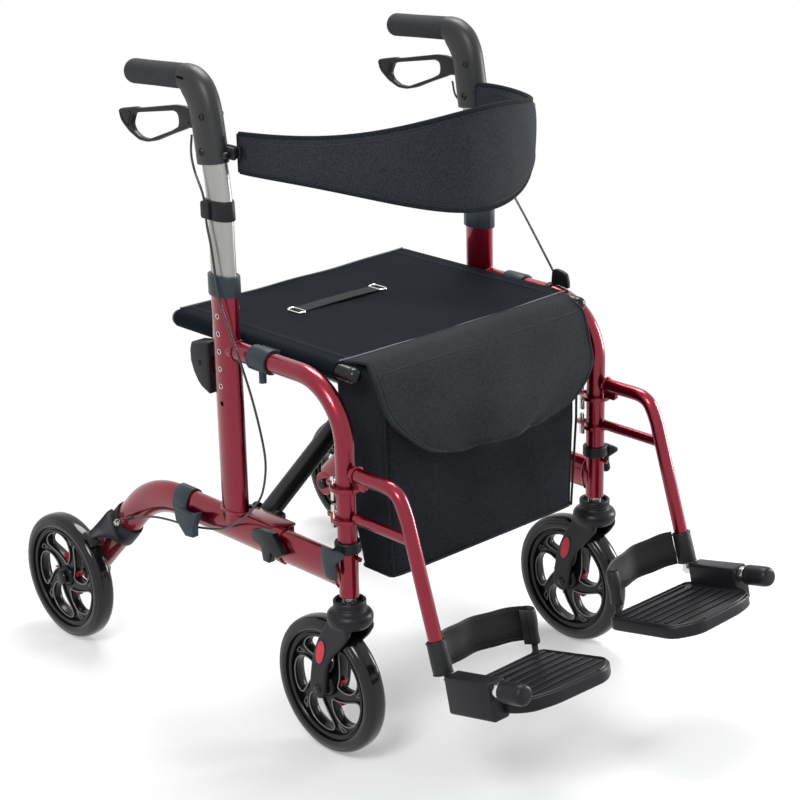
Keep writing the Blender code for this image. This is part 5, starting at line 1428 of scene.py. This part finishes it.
def brake(n):
    """Sleeve round the rail's sloping end, its pinch bolt, and the winged arm that presses on the tread."""
    shape = Shape()
    rings = []
    for along, wall in mm(-12, 0.8, -11.5, 3, -6, 4, 15, 4.4, 29, 4.2, 32.5, 3, 33, 0.8):
        ring = []
        for u, v in oval(RAIL_SECTION, 48, wall):
            hollow = 0.0130 * max(0.0, 1.0 - abs(v) / 0.030) * max(0.0, -along / 0.012) if u < 0 else 0.0
            ring.append(RAIL_END + X * u + OFF_RAIL * v + DOWN_RAIL * (along + hollow))
        rings.append(ring)
    shape.skin(rings, BLACK).piece(n + "_brake_sleeve", n + "_frame_body", n + "_brake_housing")
    shape = Shape()
    bolt = Vector((SIDE - 0.0190, 0.2160, 0.2100))
    shape.lathe(mm(0, 5, 2.6, 4.9, 3.6, 4, 3.6, 1.2, 0, 1.2), bolt, -X, STEEL, 6)
    shape.lathe(mm(0, 1.4, 5.2, 1.3, 5.6, 0.8, 5.6, -3, 0, -3), bolt, -X, STEEL, 28)
    wire = mm(20.5, 178, 229.7, 21.2, 193, 224.5, 21.6, 206, 218.5, 21.2, 214, 213, per=3)
    shape.tube(smooth_route([(SIDE - x, y, z) for x, y, z in wire], 12), 0.0015, SHEATH, 10)
    shape.piece(n + "_brake_bolt", n + "_frame_body")
    shape = Shape()
    # x, the wing's upper and lower edge (y, z) and its half thickness
    wing = mm(-260, 237.5, 225, 212, 180, 3, -268, 240.5, 221, 213, 179, 3.4,
              -276, 243.5, 212.5, 221.5, 183.5, 3.4, -286, 247.5, 202, 232, 186.2, 3.2,
              -297, 250.5, 193, 240, 185, 3, -308, 251, 188.5, 244, 184, 2.2, per=6)
    rings = []
    for x, top_y, top_z, low_y, low_z, half in smooth_rows(wing, 30):
        top, low = Vector((x, top_y, top_z)), Vector((x, low_y, low_z))
        edge = (top - low) / 2
        thick = edge.cross(X).normalized() * 0.75 + X * 0.66
        rings.append(laid([(v, u * half) for u, v in ellipse(1.0, 1.0, 28, 3.0)], (top + low) / 2, edge, thick))
    shape.skin(rings, BLACK)
    pad = []
    for angle, rise in ((33, 0.0062), (35, 0.0070), (45, 0.0070), (47, 0.0062)):
        out = Vector((0, -math.sin(math.radians(angle)), math.cos(math.radians(angle))))
        centre = Vector((REAR_WHEEL_X, *REAR_AXLE)) + out * (WHEEL_RADIUS + 0.0036 + rise / 2)
        pad.append(laid(ellipse(0.0090, rise / 2, 20, 4.0), centre, X, out))
    shape.skin(pad, BLACK).piece(n + "_brake_wing", n + "_shoe", n + "_brake_shoe")


def fittings(n):
    """Small fittings kept from the solids, with softened edges."""
    for node, finish, edge in (("post_collar", CLIP_GREY, 0.0008), ("height_lock", BLACK, 0.0006),
                               ("saddle_clip", CLIP_GREY, 0.0008), ("rail_clamp", CLIP_GREY, 0.0007),
                               ("brace_bracket", BLACK_SATIN, 0.0005), ("rear_axle", BLACK_SATIN, 0.0005),
                               ("front_axle", BLACK_SATIN, 0.0003)):
        piece = refined(f"{n}_{node}", finish, edge)
        if node == "brace_bracket":
            enamel_saddle(piece)


def enamel_saddle(bracket):
    """The bracket's sleeve and saddle plate wear the frame's paint; its hook and ears stay black."""
    bracket.data.materials.append(RED)
    for face in bracket.data.polygons:
        out, _, up = face.center
        if 0.2335 < abs(out) < -SIDE + 0.0184 and (up > 0.300 or abs(out) > 0.2400):
            face.material_index = 1


# Studio
def floor():
    bpy.ops.mesh.primitive_plane_add(size=16.0, location=(0, 0, 0))
    ground = bpy.context.object
    ground.name = "studio_floor"
    ground.data.materials.append(floor_paint())


def sky():
    """A grey dome, paler overhead, lights the walker; the eye, metal and glass see plain white instead."""
    world = bpy.data.worlds.new("studio")
    bpy.context.scene.world = world
    world.use_nodes = True
    nodes = Nodes(world.node_tree)
    height = nodes.axis(nodes.place("Generated"), 2)
    shade = nodes.node("ShaderNodeMapRange", None, {"Value": height, "From Min": 0.05, "From Max": 0.75})
    dome = nodes.tree.nodes["Background"]
    nodes.feed(dome.inputs["Color"], nodes.between(shade, (0.30, 0.31, 0.32), (0.92, 0.94, 0.96)))
    nodes.feed(dome.inputs["Strength"], 0.64)
    white = nodes.node("ShaderNodeBackground", None, {"Color": (1.0, 1.0, 1.0)})
    seen = nodes.ray("Camera").most(nodes.ray("Glossy")).most(nodes.ray("Transmission"))
    nodes.close_with(seen, Value(nodes, dome.outputs[0]), white, "World Output")


def lamp(name, place, aim, power, size):
    data = bpy.data.lights.new(name, "AREA")
    data.shape = "RECTANGLE"
    data.size, data.size_y = size
    data.energy = power
    light = put(bpy.data.objects.new(name, data))
    light.location = place
    light.rotation_euler = (Vector(aim) - Vector(place)).to_track_quat("-Z", "Y").to_euler()


def studio():
    floor()
    sky()
    lamp("key", (-2.3, -1.2, 2.7), (0.0, 0.0, 0.45), 62.0, (1.0, 1.0))
    lamp("top", (0.9, 0.8, 2.9), (0.0, 0.0, 0.4), 66.0, (1.3, 1.3))
    lamp("fill", (2.3, -1.0, 0.75), (0.0, -0.35, 0.35), 44.0, (0.5, 1.1))
    bpy.context.scene.view_settings.view_transform = "Standard"


def walker():
    for n in ("right", "left"):
        brake_cable(n)
    cable_guide()
    for n in ("right", "left"):
        for make in (side_frame, post, post_fittings, wheels, caster_fork, handle, grip, cable_clip, brake_lever,
                     footrest_hanger, strap_sleeve, footrest_rod, footplate, heel_strap, leg_collar, brake,
                     fittings):
            make(n)
    for make in (brace, seat, pull_strap, bag, bag_flap, backrest):
        make()


camera()
walker()
studio()
